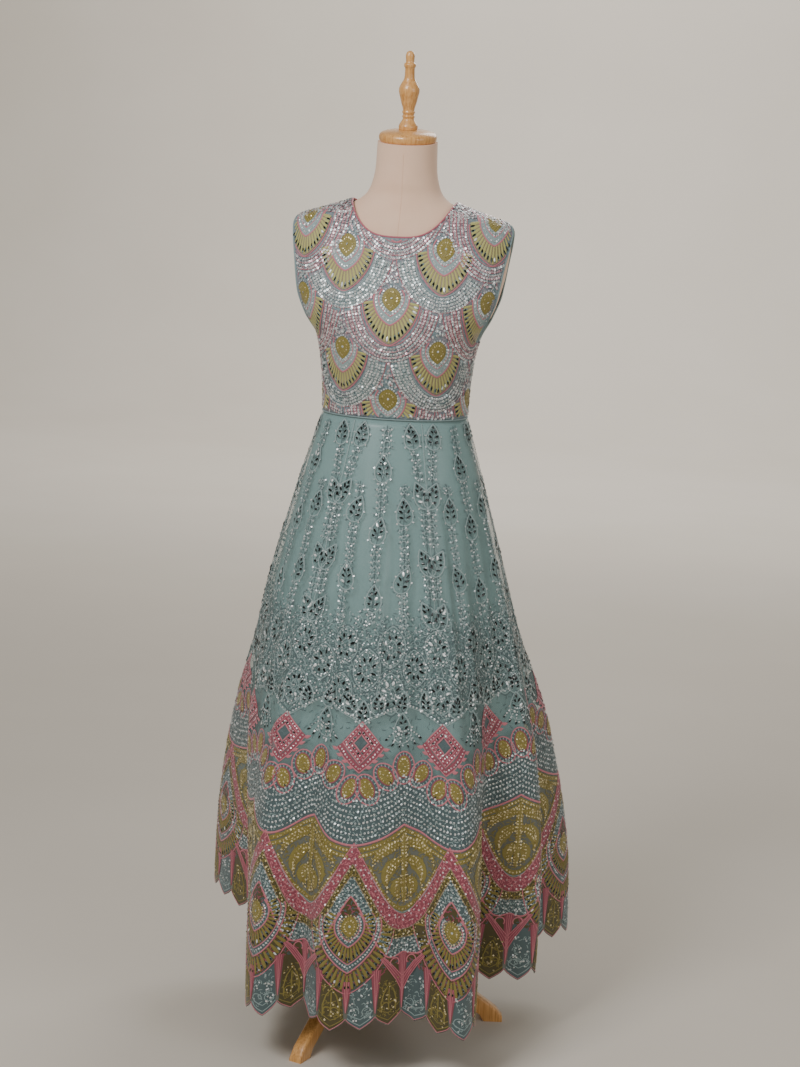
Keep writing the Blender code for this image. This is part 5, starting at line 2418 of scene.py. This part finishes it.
class Facing(Enum):
    """The two bodice pieces, with the way each faces along Y and its neckline's height."""

    FRONT = ("front", -1, 1.457)
    BACK = ("back", 1, 1.492)


@dataclass
class Bodice:
    """The front and back bodice pieces with their scales of fans and sequin rows."""

    room: Workroom
    columns: int = 72
    rows: int = 64
    wall: float = 0.0012
    pitch: float = 173.0
    row_step: float = 87.0
    first_row_z: float = 1.528
    scale_radius: float = 84.0
    scale_depth: float = 104.0

    def build(self) -> None:
        """Build and declare both pieces."""
        for facing in Facing:
            self.build_piece(facing)

    def build_piece(self, facing: Facing) -> None:
        """One bodice piece with its embroidery.

        Args:
            facing: the front or the back.
        """
        name, way, neck_z = facing.value
        cloth = bodice_surface(way)

        def mapping(u: np.ndarray, v: np.ndarray) -> np.ndarray:
            """A point of the piece, from its top edge down to the waist.

            Args:
                u: shares across, 0 to 1.
                v: shares down, 0 to 1.

            Returns:
                The points, [..., xyz].
            """
            spread = np.sin((u - 0.5) * math.pi) * -way
            tip = np.full_like(u, SHOULDER_TIP_Z)
            top = top_edge_z(bodice_edge_x(tip) * spread, neck_z)
            z = top + (WAIST_Z + SEAM_GAP / 2 - top) * v**1.3
            x = bodice_edge_x(z) * spread
            middle = np.stack([x, torso_depth(x, z, way), z], axis=-1)
            relief = NET_WALL / 2 + bodice_relief(x, z, way)
            points = middle + torso_normal(middle) * relief[:, None]
            points[:, 1] = way * np.maximum(way * points[:, 1], SEAM_GAP / 2)
            points[:, 2] = np.where(v > 0.999, WAIST_Z + SEAM_GAP / 2, points[:, 2])
            return points + ANCHOR

        mesh = shell_mesh(f"bodice_shell_{name}", self.columns, self.rows, mapping)
        made = new_object(f"bodice_shell_{name}", mesh, [self.room.ground])
        shell = made.modifiers.new("wall", "SOLIDIFY")
        shell.thickness = self.wall
        shell.offset = -1.0
        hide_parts(f"bodice_{name}")

        def inside(share: np.ndarray, level: np.ndarray) -> np.ndarray:
            """Which places are inside the piece's edges.

            Args:
                share: places across.
                level: places down.

            Returns:
                True for each place inside.
            """
            at = cloth.read(cloth.points, share, level) - ANCHOR
            x, z = at[..., 0], at[..., 2]
            own = (z > WAIST_Z + 0.003) & (way * at[..., 1] > 0.0009)
            neck = (np.abs(x) > NECK_POINT_X) | (z < top_edge_z(x, neck_z) - 0.0025)
            arm = (z < UNDERARM_Z) | (np.abs(x) < bodice_edge_x(z) - 0.0025)
            return own & neck & arm

        stitch = Stitchery(cloth, inside, seed=90 + way)
        self.embroider(stitch, cloth)
        threads = stitch.threads_piece(f"threads_bodice_{name}", self.room.threads)
        beads = stitch.beads_piece(f"sequins_bodice_{name}", self.room.beads)

    def centres(self) -> list[tuple[float, float, int]]:
        """The scales' centres: across in millimetres, height in metres, and row from the top.

        Returns:
            The centres.
        """
        found = []
        for row in range(6):
            z = self.first_row_z - row * self.row_step * MM
            shift = 0.5 if row % 2 else 0.0
            for place in (-2, -1, 0, 1, 2):
                on_ridge = min(z, SHOULDER_TIP_Z + 0.010) if place + shift else z
                found.append(((place + shift) * self.pitch, on_ridge, row))
        return found

    def embroider(self, stitch: Stitchery, cloth: ClothSurface) -> None:
        """Cover a piece with overlapping scales: a fan in each, and rows of sequins round it.

        Args:
            stitch: the piece's stitchery.
            cloth: the piece's cloth.
        """
        centres = self.centres()
        for x, z, row in centres:
            level = bodice_level(z)
            share = x * MM / float(cloth.length_at(level))
            if abs(x) * MM > cloth.lengths.max() / 2 + 0.06 or level > 1.15:
                continue
            spot = Spot(cloth, share, level)
            above = [(cx, cz) for cx, cz, other in centres if other < row]
            for order in range(6):
                half, deep = 54.0 + 6.3 * order, 80.0 + 5.5 * order
                turn = np.linspace(-1.66, 1.66, 60)
                arc = np.stack([half * np.sin(turn), deep * np.cos(turn)], axis=-1)
                arc = arc[self.uncovered(arc, x, z, above)]
                if len(arc) < 4:
                    continue
                path = spot.at(arc)
                gap = np.linalg.norm(np.diff(arc, axis=0), axis=1)
                for run in np.split(np.arange(len(arc)), np.flatnonzero(gap > 12.0) + 1):
                    if len(run) < 4:
                        continue
                    rosy = row % 2 == 0 or order == 5
                    stitch.line(path[run], 1.2 if rosy else 2.0, Thread.PINK if rosy else Thread.SILVER_TEAL)
                    between = spot.at(arc[run] * (1 + 3.1 / half))
                    if order < 5:
                        stitch.row(between, 5.1, Bead.ROSE if rosy and order % 2 else Bead.SILVER, 4.8)
            BODICE_FAN.work(stitch, spot)
        self.strew(stitch, cloth, centres)

    def uncovered(self, arc: np.ndarray, x: float, z: float, above: list[tuple[float, float]]) -> np.ndarray:
        """Which points of a scale's arc no higher scale lies over.

        Args:
            arc: its points, right and down, in millimetres.
            x: its centre across, in millimetres.
            z: its centre's height in metres.
            above: the centres of the higher scales.

        Returns:
            True for each point that shows.
        """
        free = np.ones(len(arc), bool)
        for cx, cz in above:
            off_x = arc[:, 0] + x - cx
            off_y = arc[:, 1] + (cz - z) / MM
            free &= np.hypot(off_x / self.scale_radius, off_y / self.scale_depth) > 1.03
        return free

    def strew(self, stitch: Stitchery, cloth: ClothSurface, centres: list[tuple[float, float, int]]) -> None:
        """Fill the cloth beside the fans with closely set sequins.

        Args:
            stitch: the piece's stitchery.
            cloth: the piece's cloth.
            centres: the scales' centres.
        """
        tries = np.concatenate(
            [stitch.random.random((90000, 2)), stitch.random.random((30000, 2)) * (1.0, 0.10)]
        )
        tries -= (0.5, 0.0)
        at = cloth.place(tries[:, 0], tries[:, 1])
        tries = tries[np.unique(np.floor(at / (5.3 * MM)), axis=0, return_index=True)[1]]
        at = cloth.place(tries[:, 0], tries[:, 1]) - ANCHOR
        across = tries[:, 0] * cloth.length_at(tries[:, 1]) / MM
        z = BODICE_TOP_Z - tries[:, 1] * cloth.drop
        free = np.ones(len(tries), bool)
        for cx, cz, _ in centres:
            off_x, off_y = across - cx, (cz - z) / MM
            leaf = np.hypot(off_x / 26.0, off_y / 24.0) < 1.0
            scale = np.hypot(off_x / (self.scale_radius + 3.0), off_y / (self.scale_depth + 3.0))
            free &= ~(leaf | ((scale < 1.0) & (off_y > 2.0)))
        ridge = (
            (np.abs(at[:, 1]) < 0.026)
            & (np.abs(at[:, 0]) > NECK_POINT_X)
            & (at[:, 2] > SHOULDER_TIP_Z - 0.01)
        )
        places = tries[free | ridge]
        rose = stitch.random.random(len(places)) < 0.3
        stitch.sequins(places[~rose], Bead.SILVER, 4.3)
        stitch.sequins(places[rose], Bead.ROSE, 4.1)
        stitch.curls(places[::3], Thread.PINK, 6.0, 1.3, lift=0.9)
        stitch.curls(places[1::3], Thread.SILVER_TEAL, 6.0, 1.3, lift=0.9)


def cord(name: str, paths: list[np.ndarray], radius: float, closed: bool, material: Material) -> Object:
    """Round cords along lines of points, as one curve piece.

    Args:
        name: the piece's name.
        paths: the lines, each [point, xyz].
        radius: the cord's radius in metres.
        closed: True where each line ends where it starts.
        material: its finish.

    Returns:
        The piece.
    """
    curve = bpy.data.curves.new(name, "CURVE")
    curve.dimensions = "3D"
    curve.bevel_depth = radius
    curve.bevel_resolution = 2
    curve.use_fill_caps = True
    for path in paths:
        spline = curve.splines.new("POLY")
        spline.points.add(len(path) - 1)
        spline.points.foreach_set("co", np.c_[path, np.ones(len(path))].astype(np.float32).ravel())
        spline.use_cyclic_u = closed
        spline.use_smooth = True
    curve.materials.append(material)
    made = bpy.data.objects.new(name, curve)
    bpy.context.scene.collection.objects.link(made)
    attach(made, "root")
    LOG.info("%s: %d splines", name, len(paths))
    return made


@dataclass
class Trims:
    """The cords that finish the neckline, the armholes and the waist seam."""

    room: Workroom
    neck_radius: float = 0.0016
    waist_radius: float = 0.0013

    def edge(self, x: np.ndarray, z: np.ndarray, way: int) -> np.ndarray:
        """Points just over the bodice's surface at x and z."""
        middle = np.stack([x, torso_depth(x, z, way), z], axis=-1)
        return middle + torso_normal(middle) * NET_WALL / 2 + ANCHOR

    def build(self) -> None:
        """Build every cord."""
        x = np.linspace(-NECK_POINT_X, NECK_POINT_X, 61)
        front = self.edge(x, top_edge_z(x, Facing.FRONT.value[2]), -1)
        back = self.edge(x[::-1], top_edge_z(x[::-1], Facing.BACK.value[2]), 1)
        rose = self.room.threads[Thread.PINK]
        light = self.room.threads[Thread.SILVER_TEAL]
        neck = cord("neckline_cord", [np.concatenate([front, back[1:-1]])], self.neck_radius, True, rose)
        z = np.linspace(UNDERARM_Z, SHOULDER_TIP_Z - 0.001, 40)
        loops = []
        for side in (-1, 1):
            edge_x = side * bodice_edge_x(z)
            loops.append(np.concatenate([self.edge(edge_x, z, -1), self.edge(edge_x, z, 1)[::-1]]))
        arms = cord("armhole_cords", loops, self.neck_radius, True, light)
        angle = np.linspace(-math.pi, math.pi, 97)[:-1]
        ring = skirt_point(angle, np.zeros(96), -0.0012) + ANCHOR
        waist = cord("waist_piping", [ring], self.waist_radius, True, light)


@dataclass
class Stand:
    """The dress form and its wooden stand."""

    room: Workroom
    form_columns: int = 96
    leg_angles_deg: tuple[float, ...] = (8.0, 128.0, 248.0)
    leg_reach: float = 0.255
    leg_width: float = 0.024
    leg_depth: float = 0.036
    foot_length: float = 0.036
    edge_round: float = 0.004
    hub_foot_z: float = 0.075
    spin_steps: int = 56

    def build(self) -> None:
        """Build the form, the turned pieces and the legs, and dress the pole."""
        self.build_form()
        seat = Vector((ANCHOR[0], ANCHOR[1], NECK_TOP_Z + SEAM_GAP))
        self.build_turned("neck_cap_turned", "neck_cap", NECK_CAP, seat, NECK_LEAN_DEG)
        lean = math.radians(NECK_LEAN_DEG)
        lift = NECK_CAP[-1][0] + SEAM_GAP
        top = seat + Vector((0.0, -lift * math.sin(lean), lift * math.cos(lean)))
        self.build_turned("finial_turned", "finial", FINIAL, top, NECK_LEAN_DEG)
        foot = Vector((ANCHOR[0], ANCHOR[1], self.hub_foot_z))
        self.build_turned("stand_hub_turned", "stand_hub", HUB, foot, 0.0)
        for order, angle in enumerate(self.leg_angles_deg, start=1):
            self.build_leg(order, angle)
        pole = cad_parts["stand_pole"]
        pole.data.materials.clear()
        pole.data.materials.append(self.room.beech)

    def build_form(self) -> None:
        """The covered torso, finer than its solid, with its centre seam."""
        knots = [0.860, 0.900, 0.960, 1.040, 1.100, 1.143, 1.190, 1.235, 1.280, 1.320, 1.360, 1.400]
        knots += [1.440, 1.468, 1.484, 1.4925, 1.501, 1.5095, 1.518, 1.532, 1.550, 1.575, NECK_TOP_Z]
        rows = (len(knots) - 1) * 3

        def mapping(u: np.ndarray, v: np.ndarray) -> np.ndarray:
            """A point of the form's cover.

            Args:
                u: shares across, 0 to 1.
                v: shares down, 0 to 1.

            Returns:
                The points, [..., xyz].
            """
            z = np.interp(1 - v, np.linspace(0.0, 1.0, len(knots)), knots)
            angle = (u - 0.5) * TAU
            return self.form_point(angle, z)

        mesh = shell_mesh("form_cover", self.form_columns, rows, mapping, welded=True)
        builder = bmesh.new()
        builder.from_mesh(mesh)
        rims = [edge for edge in builder.edges if edge.is_boundary]
        bmesh.ops.holes_fill(builder, edges=rims, sides=0)
        bmesh.ops.recalc_face_normals(builder, faces=builder.faces)
        builder.to_mesh(mesh)
        builder.free()
        mesh.set_sharp_from_angle(angle=math.radians(50))
        made = new_object("form_cover", mesh, [self.room.cover])
        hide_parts("form_torso")
        z = np.linspace(1.30, 1.605, 60)
        paths = [self.form_point(np.full(60, angle), z) for angle in (0.0, math.pi)]
        seam = cord("form_centre_seam", paths, 0.0006, False, self.room.cover)

    def form_point(self, angle: np.ndarray, z: np.ndarray) -> np.ndarray:
        """A point of the form's cover at an angle from the front and a height, its neck leant forward.

        Args:
            angle: radians from the front.
            z: heights before the lean.

        Returns:
            The points, [..., xyz].
        """
        power = 2 / torso_at(z, "squareness")
        deep = np.where(np.cos(angle) > 0, torso_at(z, "front"), torso_at(z, "back"))
        x = torso_at(z, "half_width") * np.sign(np.sin(angle)) * np.abs(np.sin(angle)) ** power
        y = -deep * np.sign(np.cos(angle)) * np.abs(np.cos(angle)) ** power
        ring = np.stack([x, y, z], axis=-1)
        ring -= torso_normal(ring) * torso_at(z, "ease")[:, None]
        edge = (z <= TORSO_FOOT_Z + 1e-6) | (z >= NECK_TOP_Z - 1e-6)
        ring[:, 2] = np.where(edge, z, ring[:, 2])
        lean = np.maximum(z - NECK_LEAN_FROM_Z, 0.0) / (NECK_TOP_Z - NECK_LEAN_FROM_Z)
        ring[:, 2] += ring[:, 1] * math.tan(math.radians(NECK_LEAN_DEG)) * lean
        return ring + ANCHOR

    def build_turned(self, name: str, node: str, rows: tuple, foot: Vector, lean_deg: float) -> None:
        """A lathe-turned piece in place of a node.

        Args:
            name: the piece's name.
            node: the node that it stands for.
            rows: its profile, (height, radius) in metres from its foot.
            foot: the middle of its foot.
            lean_deg: how far it leans forward.
        """
        builder = bmesh.new()
        knots = np.array([row[0] for row in rows])
        heights = np.concatenate([np.linspace(a, b, 4)[:-1] for a, b in zip(knots, knots[1:])])
        heights = np.append(heights, knots[-1])
        radii = smooth_between(heights, knots, np.array([row[1] for row in rows]))
        profile = [(0.0, heights[0]), *zip(radii, heights), (0.0, heights[-1])]
        points = [builder.verts.new((r, 0.0, h)) for r, h in profile]
        edges = [builder.edges.new(pair) for pair in zip(points, points[1:])]
        bmesh.ops.spin(
            builder,
            geom=points + edges,
            cent=(0, 0, 0),
            axis=(0, 0, 1),
            angle=TAU,
            steps=self.spin_steps,
            use_merge=True,
        )
        bmesh.ops.remove_doubles(builder, verts=builder.verts, dist=1e-6)
        bmesh.ops.recalc_face_normals(builder, faces=builder.faces)
        place = Matrix.Translation(foot) @ Matrix.Rotation(math.radians(lean_deg), 4, "X")
        bmesh.ops.transform(builder, matrix=place, verts=builder.verts)
        mesh = bpy.data.meshes.new(name)
        builder.to_mesh(mesh)
        builder.free()
        mesh.shade_smooth()
        mesh.set_sharp_from_angle(angle=math.radians(45))
        made = new_object(name, mesh, [self.room.beech])
        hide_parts(node)

    def build_leg(self, order: int, angle_deg: float) -> None:
        """One curved leg: its side outline extruded and its long edges rounded.

        Args:
            order: its number, from 1.
            angle_deg: its direction from the front.
        """
        knots = np.array([out for out, _ in LEG])
        tops = np.array([top for _, top in LEG])
        outs = np.linspace(knots[0], knots[-1], 19)
        line = smooth_between(outs, knots, tops)
        under_outs = np.linspace(self.leg_reach - self.foot_length - 0.008, knots[0], 14)
        under = np.maximum(smooth_between(under_outs, knots, tops) - self.leg_depth, 0.0)
        outline = [*zip(outs, line), (self.leg_reach, 0.0), (self.leg_reach - self.foot_length, 0.0)]
        outline += [*zip(under_outs, under)]
        builder = bmesh.new()
        side = builder.faces.new([builder.verts.new((r, -self.leg_width / 2, z)) for r, z in outline])
        grown = bmesh.ops.extrude_face_region(builder, geom=[side])
        moved = [v for v in grown["geom"] if isinstance(v, bmesh.types.BMVert)]
        bmesh.ops.translate(builder, verts=moved, vec=(0, self.leg_width, 0))
        bmesh.ops.recalc_face_normals(builder, faces=builder.faces)
        rims = [
            edge
            for edge in builder.edges
            if abs(edge.verts[0].co.y - edge.verts[1].co.y) < 1e-6
            and max(edge.verts[0].co.z, edge.verts[1].co.z) > 0.012
        ]
        bmesh.ops.bevel(
            builder,
            geom=rims,
            offset=self.edge_round,
            offset_type="OFFSET",
            segments=3,
            profile=0.5,
            affect="EDGES",
            material=-1,
            clamp_overlap=True,
        )
        place = Matrix.Translation(Vector(ANCHOR)) @ Matrix.Rotation(math.radians(angle_deg), 4, "Z")
        bmesh.ops.transform(builder, matrix=place, verts=builder.verts)
        name = f"leg_{order}"
        mesh = bpy.data.meshes.new(name)
        builder.to_mesh(mesh)
        builder.free()
        mesh.shade_smooth()
        mesh.set_sharp_from_angle(angle=math.radians(40))
        made = new_object(name, mesh, [self.room.beech])
        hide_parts(f"stand_leg_{order}")


# Turned profiles: height above the foot and radius, in metres
FINIAL = (
    (0.0000, 0.0165),
    (0.0050, 0.0168),
    (0.0105, 0.0145),
    (0.0160, 0.0110),
    (0.0190, 0.0098),
    (0.0225, 0.0113),
    (0.0255, 0.0096),
    (0.0295, 0.0115),
    (0.0330, 0.0100),
    (0.0450, 0.0133),
    (0.0560, 0.0160),
    (0.0655, 0.0181),
    (0.0700, 0.0178),
    (0.0790, 0.0138),
    (0.0865, 0.0096),
    (0.0940, 0.0086),
    (0.1040, 0.0085),
    (0.1080, 0.0104),
    (0.1115, 0.0104),
    (0.1145, 0.0072),
    (0.1250, 0.0078),
    (0.1310, 0.0060),
    (0.1335, 0.0028),
)
NECK_CAP = (
    (0.0000, 0.0480),
    (0.0030, 0.0502),
    (0.0090, 0.0508),
    (0.0140, 0.0485),
    (0.0180, 0.0390),
    (0.0205, 0.0240),
    (0.0210, 0.0170),
)
HUB = (
    (0.0000, 0.0280),
    (0.0060, 0.0340),
    (0.0980, 0.0340),
    (0.1080, 0.0290),
    (0.1250, 0.0220),
)
# The top line of a leg: distance from the stand's axis and height
LEG = (
    (0.0345, 0.160),
    (0.080, 0.142),
    (0.130, 0.108),
    (0.180, 0.070),
    (0.225, 0.038),
    (0.249, 0.019),
    (0.255, 0.010),
)


@dataclass
class Studio:
    """A pale floor, soft light, and the camera at the photograph's angle."""

    room: Workroom
    distance: float = 3.62
    height: float = 1.58
    azimuth_deg: float = 7.0
    pitch_deg: float = 10.261
    pan_deg: float = 0.306
    roll_deg: float = 2.7546
    focal_px: float = 2035.0
    frame_long_px: float = 1067.0
    sensor_mm: float = 36.0
    floor_half: float = 8.0
    sweep_radius: float = 2.4
    wall_height: float = 6.0

    def build(self) -> None:
        """Build the floor, the lights, the world and the camera."""
        self.build_floor()
        self.build_world()
        self.add_light("key", (-1.1, -2.1, 2.9), 1.0, 58.0)
        self.add_light("fill", (2.5, -1.9, 2.0), 1.4, 20.0)
        self.add_light("back", (0.8, 2.2, 2.9), 1.6, 34.0)
        self.add_light("paper", (0.0, 5.4, 5.6), 3.0, 420.0, (0.0, 10.0, 2.2))
        self.build_camera()

    def build_floor(self) -> None:
        """The paper, which isn't part of the gown: flat under it, then swept up behind it."""
        turn = self.sweep_radius * math.pi / 2

        def mapping(u: np.ndarray, v: np.ndarray) -> np.ndarray:
            """A point of the paper, v running from the top of its wall to its front edge.

            Args:
                u: shares across, 0 to 1.
                v: shares down, 0 to 1.

            Returns:
                The points, [..., xyz].
            """
            run = (1 - v) * (2 * self.floor_half + turn + self.wall_height) - 2 * self.floor_half
            angle = np.clip(run / self.sweep_radius, 0.0, math.pi / 2)
            y = np.minimum(run, 0.0) + self.sweep_radius * np.sin(angle) + self.floor_half
            z = self.sweep_radius * (1 - np.cos(angle)) + np.maximum(run - turn, 0.0)
            return np.stack([(u - 0.5) * 2 * self.floor_half, y, z], axis=-1)

        mesh = shell_mesh("floor", 2, 120, mapping)
        mesh.materials.append(self.room.floor)
        made = bpy.data.objects.new("floor", mesh)
        bpy.context.scene.collection.objects.link(made)

    def build_world(self) -> None:
        """Even pale light from all round."""
        world = bpy.data.worlds.new("soft_room")
        world.use_nodes = True
        background = world.node_tree.nodes["Background"]
        background.inputs["Color"].default_value = linear("#d9d4cb")
        background.inputs["Strength"].default_value = 0.47
        bpy.context.scene.world = world

    def add_light(
        self, name: str, place: tuple, size: float, watts: float, aim: tuple = (0.0, 0.0, 1.15)
    ) -> None:
        """A square soft light that faces the bodice, or another point.

        Args:
            name: the light's name.
            place: where it hangs.
            size: its side in metres.
            watts: its power.
            aim: the point it faces.
        """
        lamp = bpy.data.lights.new(name, "AREA")
        lamp.size = size
        lamp.energy = watts
        made = bpy.data.objects.new(name, lamp)
        made.location = place
        made.rotation_euler = (Vector(aim) - Vector(place)).to_track_quat("-Z", "Y").to_euler()
        bpy.context.scene.collection.objects.link(made)

    def build_camera(self) -> None:
        """The camera, as far away, high and tilted as the photograph's."""
        azimuth = math.radians(self.azimuth_deg)
        back = np.array([math.sin(azimuth), -math.cos(azimuth), 0.0])
        place = back * self.distance + (0.0, 0.0, self.height) + ANCHOR
        ahead, right = -back, np.array([math.cos(azimuth), math.sin(azimuth), 0.0])
        up = np.array([0.0, 0.0, 1.0])
        pan, pitch, roll = (math.radians(a) for a in (self.pan_deg, self.pitch_deg, self.roll_deg))
        ahead, right = turned(ahead, right, pan)
        up, ahead = turned(up, ahead, pitch)
        right, up = turned(right, up, roll)
        lens = bpy.data.cameras.new("camera")
        lens.sensor_width = self.sensor_mm
        lens.lens = self.focal_px / self.frame_long_px * self.sensor_mm
        made = bpy.data.objects.new("camera", lens)
        basis = np.eye(4)
        basis[:3, 0], basis[:3, 1], basis[:3, 2], basis[:3, 3] = right, up, -ahead, place
        made.matrix_world = Matrix(basis.tolist())
        bpy.context.scene.collection.objects.link(made)
        bpy.context.scene.camera = made


def turned(first: np.ndarray, second: np.ndarray, angle: float) -> tuple[np.ndarray, np.ndarray]:
    """Two axes turned in their plane, the first towards the second."""
    c, s = math.cos(angle), math.sin(angle)
    return c * first + s * second, c * second - s * first


def main() -> None:
    """Build every sub-assembly in order."""
    logging.basicConfig(level=logging.INFO, format="%(name)s: %(message)s")
    room = Workroom()
    for part in (Stand(room), Bodice(room), Skirt(room), Trims(room), Studio(room)):
        part.build()
        LOG.info("%s built", type(part).__name__)


if __name__ == "__main__":
    main()
